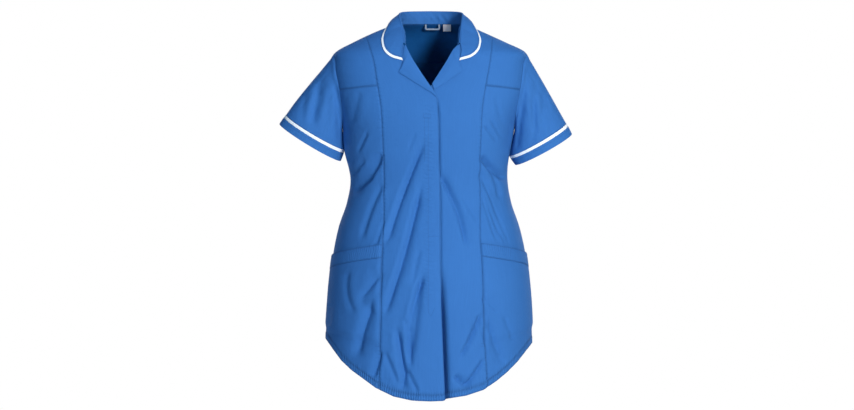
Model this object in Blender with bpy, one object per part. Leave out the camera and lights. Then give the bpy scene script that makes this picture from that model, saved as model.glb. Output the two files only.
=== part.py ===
"""Short-sleeved maternity tunic, filled out and hollow, front towards -Y, in metres.

Every body panel is a wall on one shared surface: a ring at each height, with its own half widths and
depths. Panels are cut from that surface along seam lines, and what lies on a panel is the panel's own
points moved out. The origin is midway between the shoulders, where a wearer holds the tunic up.
"""

import bpy
import numpy as np

MM = 0.001
CLOTH = 1.4 * MM
FINE_CLOTH = 1.0 * MM
SEAM_ANGLE = 0.0012
SEAM = 0.3 * MM
SIDE = np.pi / 2
COLOURS = {"cloth": (0.055, 0.205, 0.57), "trim": (0.86, 0.87, 0.9), "tape": (0.62, 0.64, 0.7)}

# Body rings. Columns: height, half width on the wearer's right, on the left, depth in front, depth
# behind, roundness of the corners (2 is an ellipse).
RINGS = np.array([
    (33, 73, 75, 40, 62, 2.0),
    (24, 98, 94, 52, 75, 2.0),
    (10, 131, 125, 66, 88, 2.1),
    (-6, 164, 160, 80, 97, 2.2),
    (-24, 197, 197, 94, 104, 2.4),
    (-50, 205, 200, 104, 110, 2.6),
    (-105, 200, 197, 118, 115, 2.6),
    (-150, 189, 184, 128, 113, 2.5),
    (-186, 180, 172, 131, 108, 2.4),
    (-235, 178, 164.5, 128, 99, 2.3),
    (-298, 168, 162, 121, 92, 2.2),
    (-343, 176, 170, 130, 99, 2.2),
    (-390, 192, 186, 146, 112, 2.2),
    (-444, 203.5, 198.5, 160, 125, 2.2),
    (-502, 211, 206, 171, 136, 2.2),
    (-564, 216, 211, 178, 143, 2.2),
    (-626, 220, 213, 181, 147, 2.2),
    (-770, 220, 213, 183, 150, 2.2),
], float)

# Front hem. Columns: share of the half width, height on the wearer's right, height on the left.
FRONT_HEM = np.array([
    (0.00, -757, -757),
    (0.12, -756, -756),
    (0.18, -755, -751),
    (0.35, -747, -745),
    (0.52, -729, -733),
    (0.65, -708, -714),
    (0.75, -692, -696.5),
    (0.85, -671, -675),
    (0.94, -644, -651),
    (1.00, -626, -635),
], float)
BACK_HEM_RISE = 6.0

# Princess seams. Columns: height, distance from the middle on the right and on the left.
PRINCESS = np.array([
    (8, 136, 131),
    (-40, 121, 126),
    (-95, 112, 117),
    (-132, 106, 111),
    (-207, 101, 106),
    (-330, 98, 105),
    (-423, 100, 105),
    (-481, 103, 109),
    (-564, 104, 111),
    (-648, 106, 115),
    (-760, 109, 122),
], float)

# Free edge of each front, in x. Columns: height, right front, left front.
FREE_EDGE = np.array([
    (33, -66, 69),
    (28, -63, 66),
    (-7, -58, 63),
    (-21, -51, 49),
    (-39, -42, 39),
    (-61, -27, 26),
    (-78, -16, 14),
    (-91, -7, 6),
    (-100, -1, -2),
    (-115, 8, -10),
    (-123, 14, -12),
    (-165, 16.5, -12),
    (-347, 20, -12),
    (-460, 20.5, -12),
    (-564, 22.5, -11),
    (-668, 26.5, -9),
    (-760, 30.5, -8),
], float)

# Rolled edge and outer edge of each lapel, seen from the front. Columns: roll x, roll z, outer x, outer z.
LAPEL_RIGHT = np.array([
    (-52, -12, -54.1, -17.5),
    (-49, -19, -55.4, -31),
    (-45.5, -26, -56, -46.3),
    (-41, -35, -66.8, -68.3),
    (-34.5, -46, -55, -76),
    (-25.5, -60, -42, -84),
    (-16.5, -74, -28, -93),
    (-8, -86.5, -14.5, -101.4),
    (0, -98, 1, -110.7),
    (8, -110.5, 12, -120.5),
], float)
LAPEL_LEFT = np.array([
    (57.3, -12, 58.2, -17.5),
    (52.3, -17, 58.6, -30),
    (47.5, -21.5, 58.7, -46),
    (42, -30.5, 66.8, -66.2),
    (35, -43, 57, -73),
    (27, -56, 44.5, -81.5),
    (18, -70, 30.5, -90.7),
    (10, -82.5, 18, -98.5),
    (3.5, -92.5, 8, -105.5),
], float)

# Collar, from the middle of the back to its front end. Columns: fold x, y, z, edge x, y, z, stand
# bottom x, y, z, heading of the fold in degrees from +X towards +Y.
COLLAR = np.array([
    (0, 66, 61.3, 0, 91, 12, 0, 62, 34, 90),
    (24, 63, 61, 37, 86, 14, 22, 59, 34, 68),
    (45, 50, 60.5, 63, 71, 19, 44, 50, 34, 45),
    (60, 30, 59, 80, 42, 26, 62, 32, 34, 18),
    (65, 10, 56, 88, 12, 31, 69, 11, 34, 0),
    (65, -10, 50, 94, -22, 24, 67, -12, 34, -15),
    (62, -28, 39, 100, -45, 10, 60, -26, 30, -28),
    (58.5, -42, 25, 102, -62, -5, 54, -36, 18, -30),
    (56.5, -58, 11, 97.5, -84, -23, 52, -50, 4, -32),
    (55.5, -69, 1, 83, -96, -36, 52, -60, -6, -34),
    (54.8, -76, -6, 58.3, -104, -43, 51, -65, -14, -36),
], float)
LEFT_EDGE_WIDER = 1.035
LEFT_FOLD_WIDER = 1.1
TRIM_WIDTH = 6.5 * MM

# Armhole: an oval in height and depth on the side of the body.
ARMHOLE_TOP = -24 * MM
ARMHOLE_FOOT = -186 * MM
ARMHOLE_FRONT = 52 * MM
ARMHOLE_BACK = 42 * MM
ARMHOLE_STEPS = 12
SHOULDER_ROWS = np.array([33, 25, 16.5, 8, -8]) * MM
YOKE_TOP_ROW = 3
YOKE_START = 0.11
LOWER_ROWS = 18
YOKE_ROW = 6
YOKE_DIP = 8.5 * MM
BACK_YOKE_ROW = 3
SIDE_COLUMNS = 7

# Sleeve rings in millimetres and degrees: middle x and z, half length, half depth, slope from level. The
# sleeve ends at the band ring, and its cuff at the mouth ring.
SLEEVES = {
    "right": {"band": (-241.7, -193.4, 71.3, 50, 30.5), "mouth": (-252.8, -214.8, 74.3, 49, 31.1)},
    "left": {"band": (225.3, -209, 68.5, 50, 29.7), "mouth": (237.5, -229.5, 66.8, 48, 28.7)},
}
SLEEVE_ROWS = 7
SLEEVE_TILT = np.radians(8.5)
SLEEVE_TRIM = 6.3 * MM
TRIM_OUT = 0.8 * MM
CUFF_OUT = 1.2 * MM
CUFF_WALL = 2.2 * MM
ARMHOLE_GAP = 0.6 * MM
# Largest folds of the sleeves, seen from the front, as on the body.
SLEEVE_FOLDS = np.array([
    (-226, -84, -247, -172, 10, -7),
    (-262, -110, -274, -160, 9, -3),
    (232, -92, 246, -176, 11, -4),
    (258, -110, 272, -165, 9, -3),
], float)

# Pocket band and pocket. Heights at the princess seam and at the side seam.
BAND_TOP = {"right": (-430.5, -455), "left": (-428, -451)}
BAND_HEIGHT = 25 * MM
POCKET_FOOT = (-640, -604)
BAND_OUT = 3.3 * MM
POCKET_OUT = 2.8 * MM

COLLAR_STATIONS = 31
FOLD_RADIUS = 2.2 * MM
FALL_CLEAR = 2.3 * MM
FALL_BULGE = 4 * MM
LAPEL_OUT = 2.3 * MM
LAPEL_BULGE = 2 * MM

# Hanger loop and blank care label, hung inside the back neck seam. Ends in x, top and foot.
LOOP = (-11.5, 20, 33, 21.5)
LOOP_TAPE = 3.2 * MM
LABEL = (26.5, 43, 33, 18.5)
HUNG_INSIDE = 2.6 * MM

# Largest folds of the fronts, seen from the front. Columns: start x, z, end x, z, half width, depth.
FRONT_FOLDS = np.array([
    (-20, -225, -66, -342, 9, -5),
    (-66, -342, -87, -416, 9, -4),
    (-24, -330, -60, -472, 10, -6),
    (-60, -472, -95, -569, 9, -5),
    (-20, -498, -43, -661, 9, -7),
    (-68, -620, -55, -729, 9, -5),
    (-106, -653, -119, -704, 8, -4),
    (-106, -248, -161, -319, 12, -7),
    (-123, -561, -156, -661, 14, -8),
    (-108, -489, -148, -561, 12, -4),
    (25, -286, 66, -388, 10, -5),
    (66, -388, 79, -422, 10, -3),
    (104, -578, 83, -636, 10, -3),
    (108, -248, 152, -290, 9, -5),
    (106, -281, 138, -332, 10, -4),
    (138, -332, 142, -410, 12, -4),
    (52, -705, 84, -725, 9, -4),
    (120, -600, 150, -680, 14, -5),
], float)
# Largest folds of the back, seen from the front through the cloth.
BACK_FOLDS = np.array([
    (-30, -250, -75, -390, 12, -5),
    (-15, -350, -40, -520, 11, -5),
    (35, -270, 80, -400, 12, -5),
    (20, -400, 48, -600, 12, -6),
    (-95, -520, -120, -690, 13, -7),
    (90, -500, 118, -680, 13, -6),
    (-60, -600, -66, -730, 11, -5),
    (-120, -250, -160, -300, 12, -5),
    (115, -245, 150, -300, 12, -5),
], float)


def smooth_table(heights, table, column):
    """Cubic curve through one column of a table, in metres over height in metres."""
    order = np.argsort(table[:, 0])
    x = table[order, 0] * MM
    y = table[order, column]
    slope = np.gradient(y, x)
    at = np.clip(heights, x[0], x[-1])
    k = np.clip(np.searchsorted(x, at) - 1, 0, len(x) - 2)
    width = x[k + 1] - x[k]
    t = (at - x[k]) / width
    start = (2 * t**3 - 3 * t**2 + 1) * y[k] + (t**3 - 2 * t**2 + t) * width * slope[k]
    end = (3 * t**2 - 2 * t**3) * y[k + 1] + (t**3 - t**2) * width * slope[k + 1]
    return start + end


def ring(angle, z):
    """Half width, depth and roundness of the body ring at this height, on this side."""
    right = smooth_table(z, RINGS, 1) * MM
    left = smooth_table(z, RINGS, 2) * MM
    front = smooth_table(z, RINGS, 3) * MM
    back = smooth_table(z, RINGS, 4) * MM
    width = np.where(np.sin(angle) < 0, right, left)
    depth = np.where(np.cos(angle) > 0, front, back)
    return width, depth, smooth_table(z, RINGS, 5)


def ring_radius(angle, z):
    width, depth, power = ring(angle, z)
    across = np.abs(np.sin(angle)) / width
    along = np.abs(np.cos(angle)) / depth
    return (across**power + along**power) ** (-1 / power)


def fold_depth(x, z, folds):
    """Sum of soft troughs: each a bell across its line, fading at both ends."""
    total = np.zeros(np.broadcast(x, z).shape)
    for x0, z0, x1, z1, half, depth in folds * MM:
        length = np.hypot(x1 - x0, z1 - z0)
        ux, uz = (x1 - x0) / length, (z1 - z0) / length
        along = ((x - x0) * ux + (z - z0) * uz) / length
        across = (x - x0) * uz - (z - z0) * ux
        fade = np.exp(-np.clip(np.abs(along - 0.5) - 0.38, 0, None) ** 2 / 0.02)
        total = total + depth * np.exp(-((across / half) ** 2)) * fade
    return total


def lap(x, z, side):
    """How far a front stands out at the overlap: the right over the left, which sinks back at the hem."""
    near = np.exp(-np.clip(np.abs(x) - 20 * MM, 0, None) ** 2 / (26 * MM) ** 2)
    buttoned = np.clip((-z - 60 * MM) / (50 * MM), 0, 1)
    loose = np.clip((-z - 460 * MM) / (290 * MM), 0, 1) ** 1.5
    if side == "right":
        return near * buttoned * (1.1 * MM + 3 * MM * loose)
    return near * buttoned * (-1.3 * MM - 9 * MM * loose)


def body(angle, z, side=None):
    """Point of the body's outer surface. Angle 0 is the front, a quarter turn is the left side."""
    angle, z = np.broadcast_arrays(angle, z)
    radius = ring_radius(angle, z)
    x = radius * np.sin(angle)
    front = np.clip(np.cos(angle) * 5, 0, 1)
    back = np.clip(-np.cos(angle) * 5, 0, 1)
    radius = radius + front * fold_depth(x, z, FRONT_FOLDS) + back * fold_depth(x, z, BACK_FOLDS)
    if side:
        radius = radius + lap(x, z, side)
    return np.stack([radius * np.sin(angle), -radius * np.cos(angle), z], -1)


def body_normal(angle, z, side=None):
    step = 0.004
    around = body(angle + step, z, side) - body(angle - step, z, side)
    down = body(angle, z - step / 4, side) - body(angle, z + step / 4, side)
    normal = np.cross(down, around)
    normal = normal / np.linalg.norm(normal, axis=-1, keepdims=True)
    point = body(angle, z, side)
    outward = (normal[..., 0] * point[..., 0] + normal[..., 1] * point[..., 1]) < 0
    return np.where(outward[..., None], -normal, normal)


def angle_at_x(x, z):
    """Angle on the front of the ring where it passes this x."""
    width, depth, power = ring(np.sign(x) * 0.5, z)
    share = np.clip(np.abs(x) / width, 0, 1)
    y = depth * (1 - share**power) ** (1 / power)
    return np.arctan2(x, y)


def angle_at_depth(y, z, sign):
    """Angle on the side of the ring where it passes this y, on the right (-1) or the left (1)."""
    width, depth, power = ring(np.where(y < 0, 0.8, 2.3) * sign, z)
    share = np.clip(np.abs(y) / depth, 0, 1)
    x = width * (1 - share**power) ** (1 / power)
    return np.arctan2(sign * x, -y)


def hem_height(angle):
    """Height of the curved hem, from the share of the half width that this angle reaches."""
    low = RINGS[-1, 0] * MM
    width = ring(angle, low)[0]
    share = np.abs(ring_radius(angle, low) * np.sin(angle)) / width
    right = np.interp(share, FRONT_HEM[:, 0], FRONT_HEM[:, 1])
    left = np.interp(share, FRONT_HEM[:, 0], FRONT_HEM[:, 2])
    turn = np.clip(np.sin(angle) * 8, -1, 1) / 2 + 0.5
    front = np.where(np.sin(angle) < 0, right, left)
    back = right * (1 - turn) + left * turn + BACK_HEM_RISE * (1 - share)
    return np.where(np.cos(angle) > 0, front, back) * MM


def armhole_rows():
    turn = np.linspace(0, np.pi, ARMHOLE_STEPS + 1)
    middle = (ARMHOLE_TOP + ARMHOLE_FOOT) / 2
    half = (ARMHOLE_TOP - ARMHOLE_FOOT) / 2
    return middle + half * np.cos(turn), np.sin(turn)


def row_heights(seam_side):
    """Heights of the rows above the underarm: at the armhole, or at the princess seam, where the yoke
    seam sits a little higher."""
    heights, _ = armhole_rows()
    if seam_side:
        lift = np.exp(-(((np.arange(ARMHOLE_STEPS + 1) - YOKE_ROW) / 2.0) ** 2))
        heights = heights + YOKE_DIP * lift
        heights[0] = ARMHOLE_TOP
        heights[-1] = ARMHOLE_FOOT
    return np.concatenate([SHOULDER_ROWS, heights])


UPPER_COUNT = len(SHOULDER_ROWS) + ARMHOLE_STEPS + 1
ROW_COUNT = UPPER_COUNT + LOWER_ROWS


def lower_height(angle, row):
    share = (row - UPPER_COUNT + 1) / LOWER_ROWS
    return ARMHOLE_FOOT + share * (hem_height(angle) - ARMHOLE_FOOT)


def line_on_rows(rows, line, seam_side=True):
    """Angle and height where a seam line, a function of height, crosses each row."""
    upper = row_heights(seam_side)
    z = np.where(rows < UPPER_COUNT, upper[np.minimum(rows, UPPER_COUNT - 1)], ARMHOLE_FOOT)
    angle = line(z, rows)
    for _ in range(6):
        z = np.where(rows < UPPER_COUNT, z, lower_height(angle, rows))
        angle = line(z, rows)
    return angle, z


def princess_line(sign):
    column = 1 if sign < 0 else 2

    def line(z, rows):
        x = smooth_table(z, PRINCESS, column) * MM
        width = ring(sign * 0.5, z)[0]
        return np.where(x < width, angle_at_x(sign * x, z), sign * SIDE)

    return line


def free_line(column):
    def line(z, rows):
        return angle_at_x(np.interp(z, FREE_EDGE[::-1, 0] * MM, FREE_EDGE[::-1, column]) * MM, z)

    return line


def outer_line(sign, reach):
    """Shoulder seam, then armhole, then side seam."""
    _, bulge = armhole_rows()

    def line(z, rows):
        step = np.clip(rows - len(SHOULDER_ROWS), 0, ARMHOLE_STEPS)
        at_hole = (rows > len(SHOULDER_ROWS)) & (rows < UPPER_COUNT - 1)
        depth = np.where(at_hole, reach * bulge[step], 0)
        return np.where(at_hole, angle_at_depth(depth, z, sign), sign * SIDE)

    return line


def grid_between(rows, first, second, columns, side=None, trims=(0, 0), ends=(0, 0)):
    """Grid of points and normals between two seam lines. trims move its two sides in, in angle, and
    ends move its first and last row in, in metres."""
    a, za = first
    b, zb = second
    towards = np.sign(np.mean(b - a))
    a = a + towards * trims[0]
    b = b - towards * trims[1]
    u = np.linspace(0, 1, columns + 1)[None, :]
    angle = a[:, None] * (1 - u) + b[:, None] * u
    z = za[:, None] * (1 - u) + zb[:, None] * u
    low = rows[:, None] >= UPPER_COUNT
    z = np.where(low, lower_height(angle, rows[:, None]), z)
    z[0] -= ends[0]
    z[-1] += ends[1]
    return body(angle, z, side), body_normal(angle, z, side)


def cloth_material(kind):
    """One cloth colour, made once and shared."""
    if kind in bpy.data.materials:
        return bpy.data.materials[kind]
    material = bpy.data.materials.new(kind)
    material.use_nodes = True
    shader = material.node_tree.nodes["Principled BSDF"]
    shader.inputs["Base Color"].default_value = (*COLOURS[kind], 1)
    shader.inputs["Roughness"].default_value = 0.85
    shader.inputs["Metallic"].default_value = 0
    return material


def make_node(name, points, faces):
    mesh = bpy.data.meshes.new(name)
    mesh.from_pydata(points.tolist(), [], faces.tolist())
    mesh.shade_smooth()
    mesh.set_sharp_from_angle(angle=np.radians(40))
    kind = "trim" if "trim" in name else "tape" if name in ("hanger_loop", "care_label") else "cloth"
    mesh.materials.append(cloth_material(kind))
    bpy.context.scene.collection.objects.link(bpy.data.objects.new(name, mesh))


def wall_faces(rows, columns, closed):
    """Triangles of a wall: an outer grid, an inner grid after it, and the rim between them."""
    count = rows * columns
    index = np.arange(count).reshape(rows, columns)
    if closed:
        index = np.concatenate([index, index[:, :1]], 1)
    a, b = index[:-1, :-1], index[:-1, 1:]
    c, d = index[1:, 1:], index[1:, :-1]
    outer = np.stack([a, b, c, d], -1).reshape(-1, 4)
    inner = outer[:, ::-1] + count
    rims = [index[0], index[-1][::-1]]
    if not closed:
        rims += [index[::-1, 0], index[:, -1]]
    sides = [np.stack([e[1:], e[:-1], e[:-1] + count, e[1:] + count], -1) for e in rims]
    quads = np.concatenate([outer, inner] + sides)
    return np.concatenate([quads[:, [0, 1, 2]], quads[:, [0, 2, 3]]])


def make_wall(name, points, normals, thickness=CLOTH, closed=False):
    """Closed solid between a grid and the same grid moved in along its normals."""
    rows, columns = points.shape[:2]
    both = np.concatenate([points.reshape(-1, 3), (points - normals * thickness).reshape(-1, 3)])
    faces = wall_faces(rows, columns, closed)
    corners = both[faces]
    volume = np.einsum("ij,ij->i", corners[:, 0], np.cross(corners[:, 1], corners[:, 2])).sum()
    make_node(name, both, faces[:, ::-1] if volume < 0 else faces)


def grid_normals(points, closed=False):
    """Normals of a free grid, from the differences between neighbouring points."""
    down = np.gradient(points, axis=0)
    if closed:
        across = np.roll(points, -1, 1) - np.roll(points, 1, 1)
    else:
        across = np.gradient(points, axis=1)
    normal = np.cross(down, across)
    return normal / np.linalg.norm(normal, axis=-1, keepdims=True)


def build_front(side):
    sign, column = (-1, 1) if side == "right" else (1, 2)
    rows = np.arange(ROW_COUNT)
    inner = line_on_rows(rows, free_line(column))
    outer = line_on_rows(rows, princess_line(sign))
    points, normals = grid_between(rows, inner, outer, 7, side, trims=(0, SEAM_ANGLE))
    make_wall(f"front_{side}", points, normals)


def side_lines(rows, sign):
    inner = line_on_rows(rows, princess_line(sign))
    outer = line_on_rows(rows, outer_line(sign, -ARMHOLE_FRONT), seam_side=False)
    return inner, outer


def build_yoke(side):
    sign = -1 if side == "right" else 1
    rows = np.arange(YOKE_TOP_ROW, len(SHOULDER_ROWS) + YOKE_ROW + 1)
    inner, outer = side_lines(rows, sign)
    for values in (*inner, *outer):
        values[0] += (values[1] - values[0]) * YOKE_START
    points, normals = grid_between(rows, inner, outer, 5, side, trims=(SEAM_ANGLE, SEAM_ANGLE),
                                   ends=(0, SEAM / 2))
    make_wall(f"front_yoke_{side}", points, normals)


def build_side_front(side):
    sign = -1 if side == "right" else 1
    rows = np.arange(len(SHOULDER_ROWS) + YOKE_ROW, ROW_COUNT)
    inner, outer = side_lines(rows, sign)
    points, normals = grid_between(rows, inner, outer, SIDE_COLUMNS, side, trims=(SEAM_ANGLE, SEAM_ANGLE),
                                   ends=(SEAM / 2, 0))
    make_wall(f"side_front_{side}", points, normals)


def build_back():
    """The back below its yoke seam, and the yoke above it."""
    split = len(SHOULDER_ROWS) + BACK_YOKE_ROW
    spans = {"back_yoke": (0, split + 1, (0, SEAM / 2)), "back": (split, ROW_COUNT, (SEAM / 2, 0))}
    for name, (start, stop, ends) in spans.items():
        rows = np.arange(start, stop)
        left = line_on_rows(rows, outer_line(1, ARMHOLE_BACK), seam_side=False)
        right_angle, right_z = line_on_rows(rows, outer_line(-1, ARMHOLE_BACK), seam_side=False)
        right = (right_angle + 2 * np.pi, right_z)
        points, normals = grid_between(rows, left, right, 18, trims=(SEAM_ANGLE, SEAM_ANGLE), ends=ends)
        make_wall(name, points, normals)


def armhole_loop(sign):
    """Rim of the armhole as one loop: down the front from the shoulder, and up the back. Gives the
    points, the body normals there, and the direction in the cloth towards the middle of the hole."""
    rows = np.arange(len(SHOULDER_ROWS), UPPER_COUNT)
    front = line_on_rows(rows, outer_line(sign, -ARMHOLE_FRONT), seam_side=False)
    back = line_on_rows(rows, outer_line(sign, ARMHOLE_BACK), seam_side=False)
    angle = np.concatenate([front[0], back[0][-2:0:-1]])
    z = np.concatenate([front[1], back[1][-2:0:-1]])
    points, normals = body(angle, z), body_normal(angle, z)
    inward = points.mean(0) - points
    inward = inward - normals * (inward * normals).sum(-1, keepdims=True)
    return points, inward / np.linalg.norm(inward, axis=-1, keepdims=True)


def sleeve_ring(side, name, out=0.0):
    """Ring of the sleeve, an oval: its outer corner first, then round by the front, which hangs lower."""
    x, z, half, depth, slope = SLEEVES[side][name]
    sign = -1 if side == "right" else 1
    slope = np.radians(slope)
    turn = np.arange(2 * ARMHOLE_STEPS) * np.pi / ARMHOLE_STEPS
    long_way = np.array([sign * np.cos(slope), 0, np.sin(slope)])
    across = np.array([0, -np.cos(SLEEVE_TILT), 0]) + sleeve_axis(side) * np.sin(SLEEVE_TILT)
    middle = np.array([x, 0, z]) * MM
    return (middle + np.cos(turn)[:, None] * long_way * (half * MM + out)
            + np.sin(turn)[:, None] * across * (depth * MM + out))


def sleeve_axis(side):
    ends = [np.array([SLEEVES[side][name][0], 0, SLEEVES[side][name][1]]) for name in ("band", "mouth")]
    return (ends[1] - ends[0]) / np.linalg.norm(ends[1] - ends[0])


def outward_normals(points):
    normals = grid_normals(points, closed=True)
    middle = points.mean(1, keepdims=True)
    inside = ((points - middle) * normals).sum(-1).mean() < 0
    return -normals if inside else normals


def build_sleeve(side):
    """A cubic blend from the armhole to the band ring, leaving the body along its own cloth and
    reaching the ring along the sleeve's axis."""
    sign = -1 if side == "right" else 1
    start, inward = armhole_loop(sign)
    start = start + inward * ARMHOLE_GAP
    end = sleeve_ring(side, "band")
    axis = sleeve_axis(side)
    end = end - axis * 3 * SEAM
    chord = end - start
    reach = np.linalg.norm(chord, axis=-1, keepdims=True)
    leave = chord * 0.7 + (axis * 0.2 + inward * 0.15) * reach
    arrive = chord * 0.6 + axis * reach * 0.35
    s = np.linspace(0, 1, SLEEVE_ROWS + 1)[:, None, None]
    points = ((2 * s**3 - 3 * s**2 + 1) * start + (s**3 - 2 * s**2 + s) * leave
              + (3 * s**2 - 2 * s**3) * end + (s**3 - s**2) * arrive)
    depth = fold_depth(points[..., 0], points[..., 2], SLEEVE_FOLDS) * np.sin(np.pi * s[..., 0]) ** 0.5
    half_depth = 50 * MM
    points[..., 1] += depth * np.clip(points[..., 1] / half_depth, -1, 1)
    make_wall(f"sleeve_{side}", points, outward_normals(points), closed=True)


def build_cuff(side):
    """The white band and the turned cuff below it, as two short rings."""
    length = SLEEVE_TRIM / 24.2 / MM
    gap = SEAM / 24.2 / MM
    spans = {
        f"sleeve_trim_{side}": ((0, length), TRIM_OUT, CLOTH),
        f"cuff_{side}": ((length + gap, 1), CUFF_OUT, CUFF_WALL),
    }
    for name, (span, out, wall) in spans.items():
        s = np.linspace(span[0], span[1], 3)[:, None, None]
        points = sleeve_ring(side, "band", out) * (1 - s) + sleeve_ring(side, "mouth", out) * s
        make_wall(name, points, outward_normals(points), wall, closed=True)


def stand_off(points, least):
    """Points near or inside the body moved out along its normal until they stand this far off it."""
    angle = np.arctan2(points[..., 0], -points[..., 1])
    z = points[..., 2]
    side_point = body(angle, z)
    normal = body_normal(angle, z)
    gap = ((points - side_point) * normal).sum(-1, keepdims=True)
    on_body = np.clip((RINGS[0, 0] * MM - z) / (4 * MM), 0, 1)[..., None]
    return points + normal * np.clip(least - gap, 0, None) * on_body


def collar_stations():
    """Fold, edge and stand-bottom lines of the collar with the heading of its fold, from the right front
    end round the back to the left front end."""
    place = np.abs(np.linspace(-1, 1, COLLAR_STATIONS)) * (len(COLLAR) - 1)
    table = np.concatenate([np.arange(len(COLLAR))[:, None] / MM, COLLAR], 1)
    values = np.stack([smooth_table(place, table, k) for k in range(1, 11)], -1)
    sign = np.where(np.arange(COLLAR_STATIONS) < COLLAR_STATIONS // 2, -1.0, 1.0)
    fold, edge, foot = (values[:, k:k + 3] * MM for k in (0, 3, 6))
    front = np.clip((50 * MM - fold[:, 2]) / (25 * MM), 0, 1)
    wider = LEFT_EDGE_WIDER + (LEFT_FOLD_WIDER - LEFT_EDGE_WIDER) * front
    edge_wider = 1 + (LEFT_EDGE_WIDER - 1) * np.clip((35 * MM - edge[:, 2]) / (25 * MM), 0, 1)
    for line, widening in ((fold, wider), (edge, edge_wider), (foot, wider)):
        line[:, 0] *= sign * np.where(sign > 0, widening, 1)
    heading = np.radians(values[:, 9])
    out = np.stack([np.sign(sign) * np.cos(heading), np.sin(heading), np.zeros(len(sign))], -1)
    return fold, edge, foot, out


def collar_fall(share):
    """Points of the collar's fall at these shares of the way from the fold to the outer edge."""
    fold, edge, _, out = collar_stations()
    top = fold + out * FOLD_RADIUS - np.array([0, 0, FOLD_RADIUS])
    share = share[:, :, None]
    points = top[None] * (1 - share) + edge[None] * share + out[None] * FALL_BULGE * np.sin(np.pi * share)
    return stand_off(points, FALL_CLEAR + 1.2 * MM * np.sin(np.pi * share))


def build_collar():
    """The stand, folded over at the top into the fall, and the contrast edge beyond it."""
    fold, edge, foot, out = collar_stations()
    down = np.array([0, 0, FOLD_RADIUS])
    inner = fold - out * FOLD_RADIUS - down
    length = np.linalg.norm(edge - fold, axis=-1)
    last = 1 - TRIM_WIDTH / length
    stand = np.stack([foot, (foot + inner) / 2 - out * MM, inner, fold])
    fall = collar_fall(np.outer([0, 0.33, 0.66, 1], last - 2 * SEAM / length))
    trim = collar_fall(np.stack([last, (last + 1) / 2, np.ones_like(last)]))
    points = np.concatenate([stand, fall, trim])
    normals = grid_normals(points)
    if (normals[-1] * out).sum() < 0:
        normals = -normals
    split = len(stand) + len(fall)
    normals[split - 1] = normals[split]
    make_wall("collar", points[:split], normals[:split])
    make_wall("collar_trim", points[split:], normals[split:])


def build_lapel(side, table, columns=3):
    """A front turned back along its roll: points over the front, moved out."""
    roll_x, roll_z, outer_x, outer_z = table.T * MM
    u = np.linspace(0, 1, columns + 1)[None, :]
    x = roll_x[:, None] * (1 - u) + outer_x[:, None] * u
    z = roll_z[:, None] * (1 - u) + outer_z[:, None] * u
    angle = angle_at_x(x, z)
    normal = body_normal(angle, z, side)
    width = np.hypot(outer_x - roll_x, outer_z - roll_z)
    bulge = LAPEL_BULGE * np.clip(width / (30 * MM), 0, 1)[:, None]
    out = (LAPEL_OUT + bulge * np.sin(np.pi * u))[..., None]
    make_wall(f"lapel_{side}", body(angle, z, side) + normal * out, normal)


def on_side_front(side, top, foot, rows, out):
    """Grid on the side front between two slanting lines, each given at the princess and side seams."""
    sign = -1 if side == "right" else 1
    u = np.linspace(0, 1, SIDE_COLUMNS + 1)[None, :]
    v = np.linspace(0, 1, rows + 1)[:, None]
    upper = top[0] * (1 - u) + top[1] * u
    lower = foot[0] * (1 - u) + foot[1] * u
    z = (upper * (1 - v) + lower * v) * MM
    seam = princess_line(sign)(z[:, 0], None) + sign * 2 * SEAM_ANGLE
    angle = seam[:, None] * (1 - u) + sign * (SIDE - 2 * SEAM_ANGLE) * u
    normal = body_normal(angle, z)
    return body(angle, z) + normal * out, normal


def build_pocket(side):
    top = BAND_TOP[side]
    foot = tuple(height - BAND_HEIGHT / MM for height in top)
    below = tuple(height - SEAM / MM for height in foot)
    make_wall(f"pocket_band_{side}", *on_side_front(side, top, foot, 1, BAND_OUT), 1.6 * MM)
    make_wall(f"pocket_{side}", *on_side_front(side, below, POCKET_FOOT, 9, POCKET_OUT), 1.2 * MM)


def neck_inside(x):
    """Depth of a flat piece hung inside the back neck seam at this x."""
    width, depth, _ = ring(np.sign(x) * 2.6, RINGS[0, 0] * MM)
    return depth * np.sqrt(1 - (x / width) ** 2) - HUNG_INSIDE


def build_hung_pieces():
    """The tape hanger, bent to a shallow U, and the blank label beside it."""
    left, right, top, foot = np.array(LOOP) * MM
    bend = 2 * MM
    x = np.array([left, left, left + bend, right - bend, right, right])
    z = np.array([top, foot + bend, foot, foot, foot + bend, top])
    middle, high = (left + right) / 2, top
    inner_x = x + np.sign(middle - x) * LOOP_TAPE
    inner_z = np.where(z == high, z, z + LOOP_TAPE)
    points = np.stack([np.stack([a, neck_inside(a), b], -1) for a, b in ((x, z), (inner_x, inner_z))])
    facing = np.broadcast_to([0.0, -1.0, 0.0], points.shape)
    make_wall("hanger_loop", points, facing, FINE_CLOTH)
    left, right, top, foot = np.array(LABEL) * MM
    x, z = np.meshgrid(np.linspace(left, right, 4), np.linspace(top, foot, 3))
    points = np.stack([x, neck_inside(x), z], -1)
    make_wall("care_label", points, np.broadcast_to([0.0, -1.0, 0.0], points.shape), FINE_CLOTH)


def clear_scene():
    for thing in list(bpy.data.objects):
        bpy.data.objects.remove(thing, do_unlink=True)


clear_scene()
for side, lapel in (("right", LAPEL_RIGHT), ("left", LAPEL_LEFT)):
    build_front(side)
    build_yoke(side)
    build_side_front(side)
    build_lapel(side, lapel)
    build_sleeve(side)
    build_cuff(side)
    build_pocket(side)
build_back()
build_collar()
build_hung_pieces()
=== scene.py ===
"""Maternity tunic: cloth shells, seams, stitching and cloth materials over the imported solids.

The shells repeat the shape of the solids, from the same rings, seam lines and folds, on a finer grid
and with the smaller creases, seam puckers, hems and stitches that the solids leave out. Metres, +Z up,
front towards -Y.
"""

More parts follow.
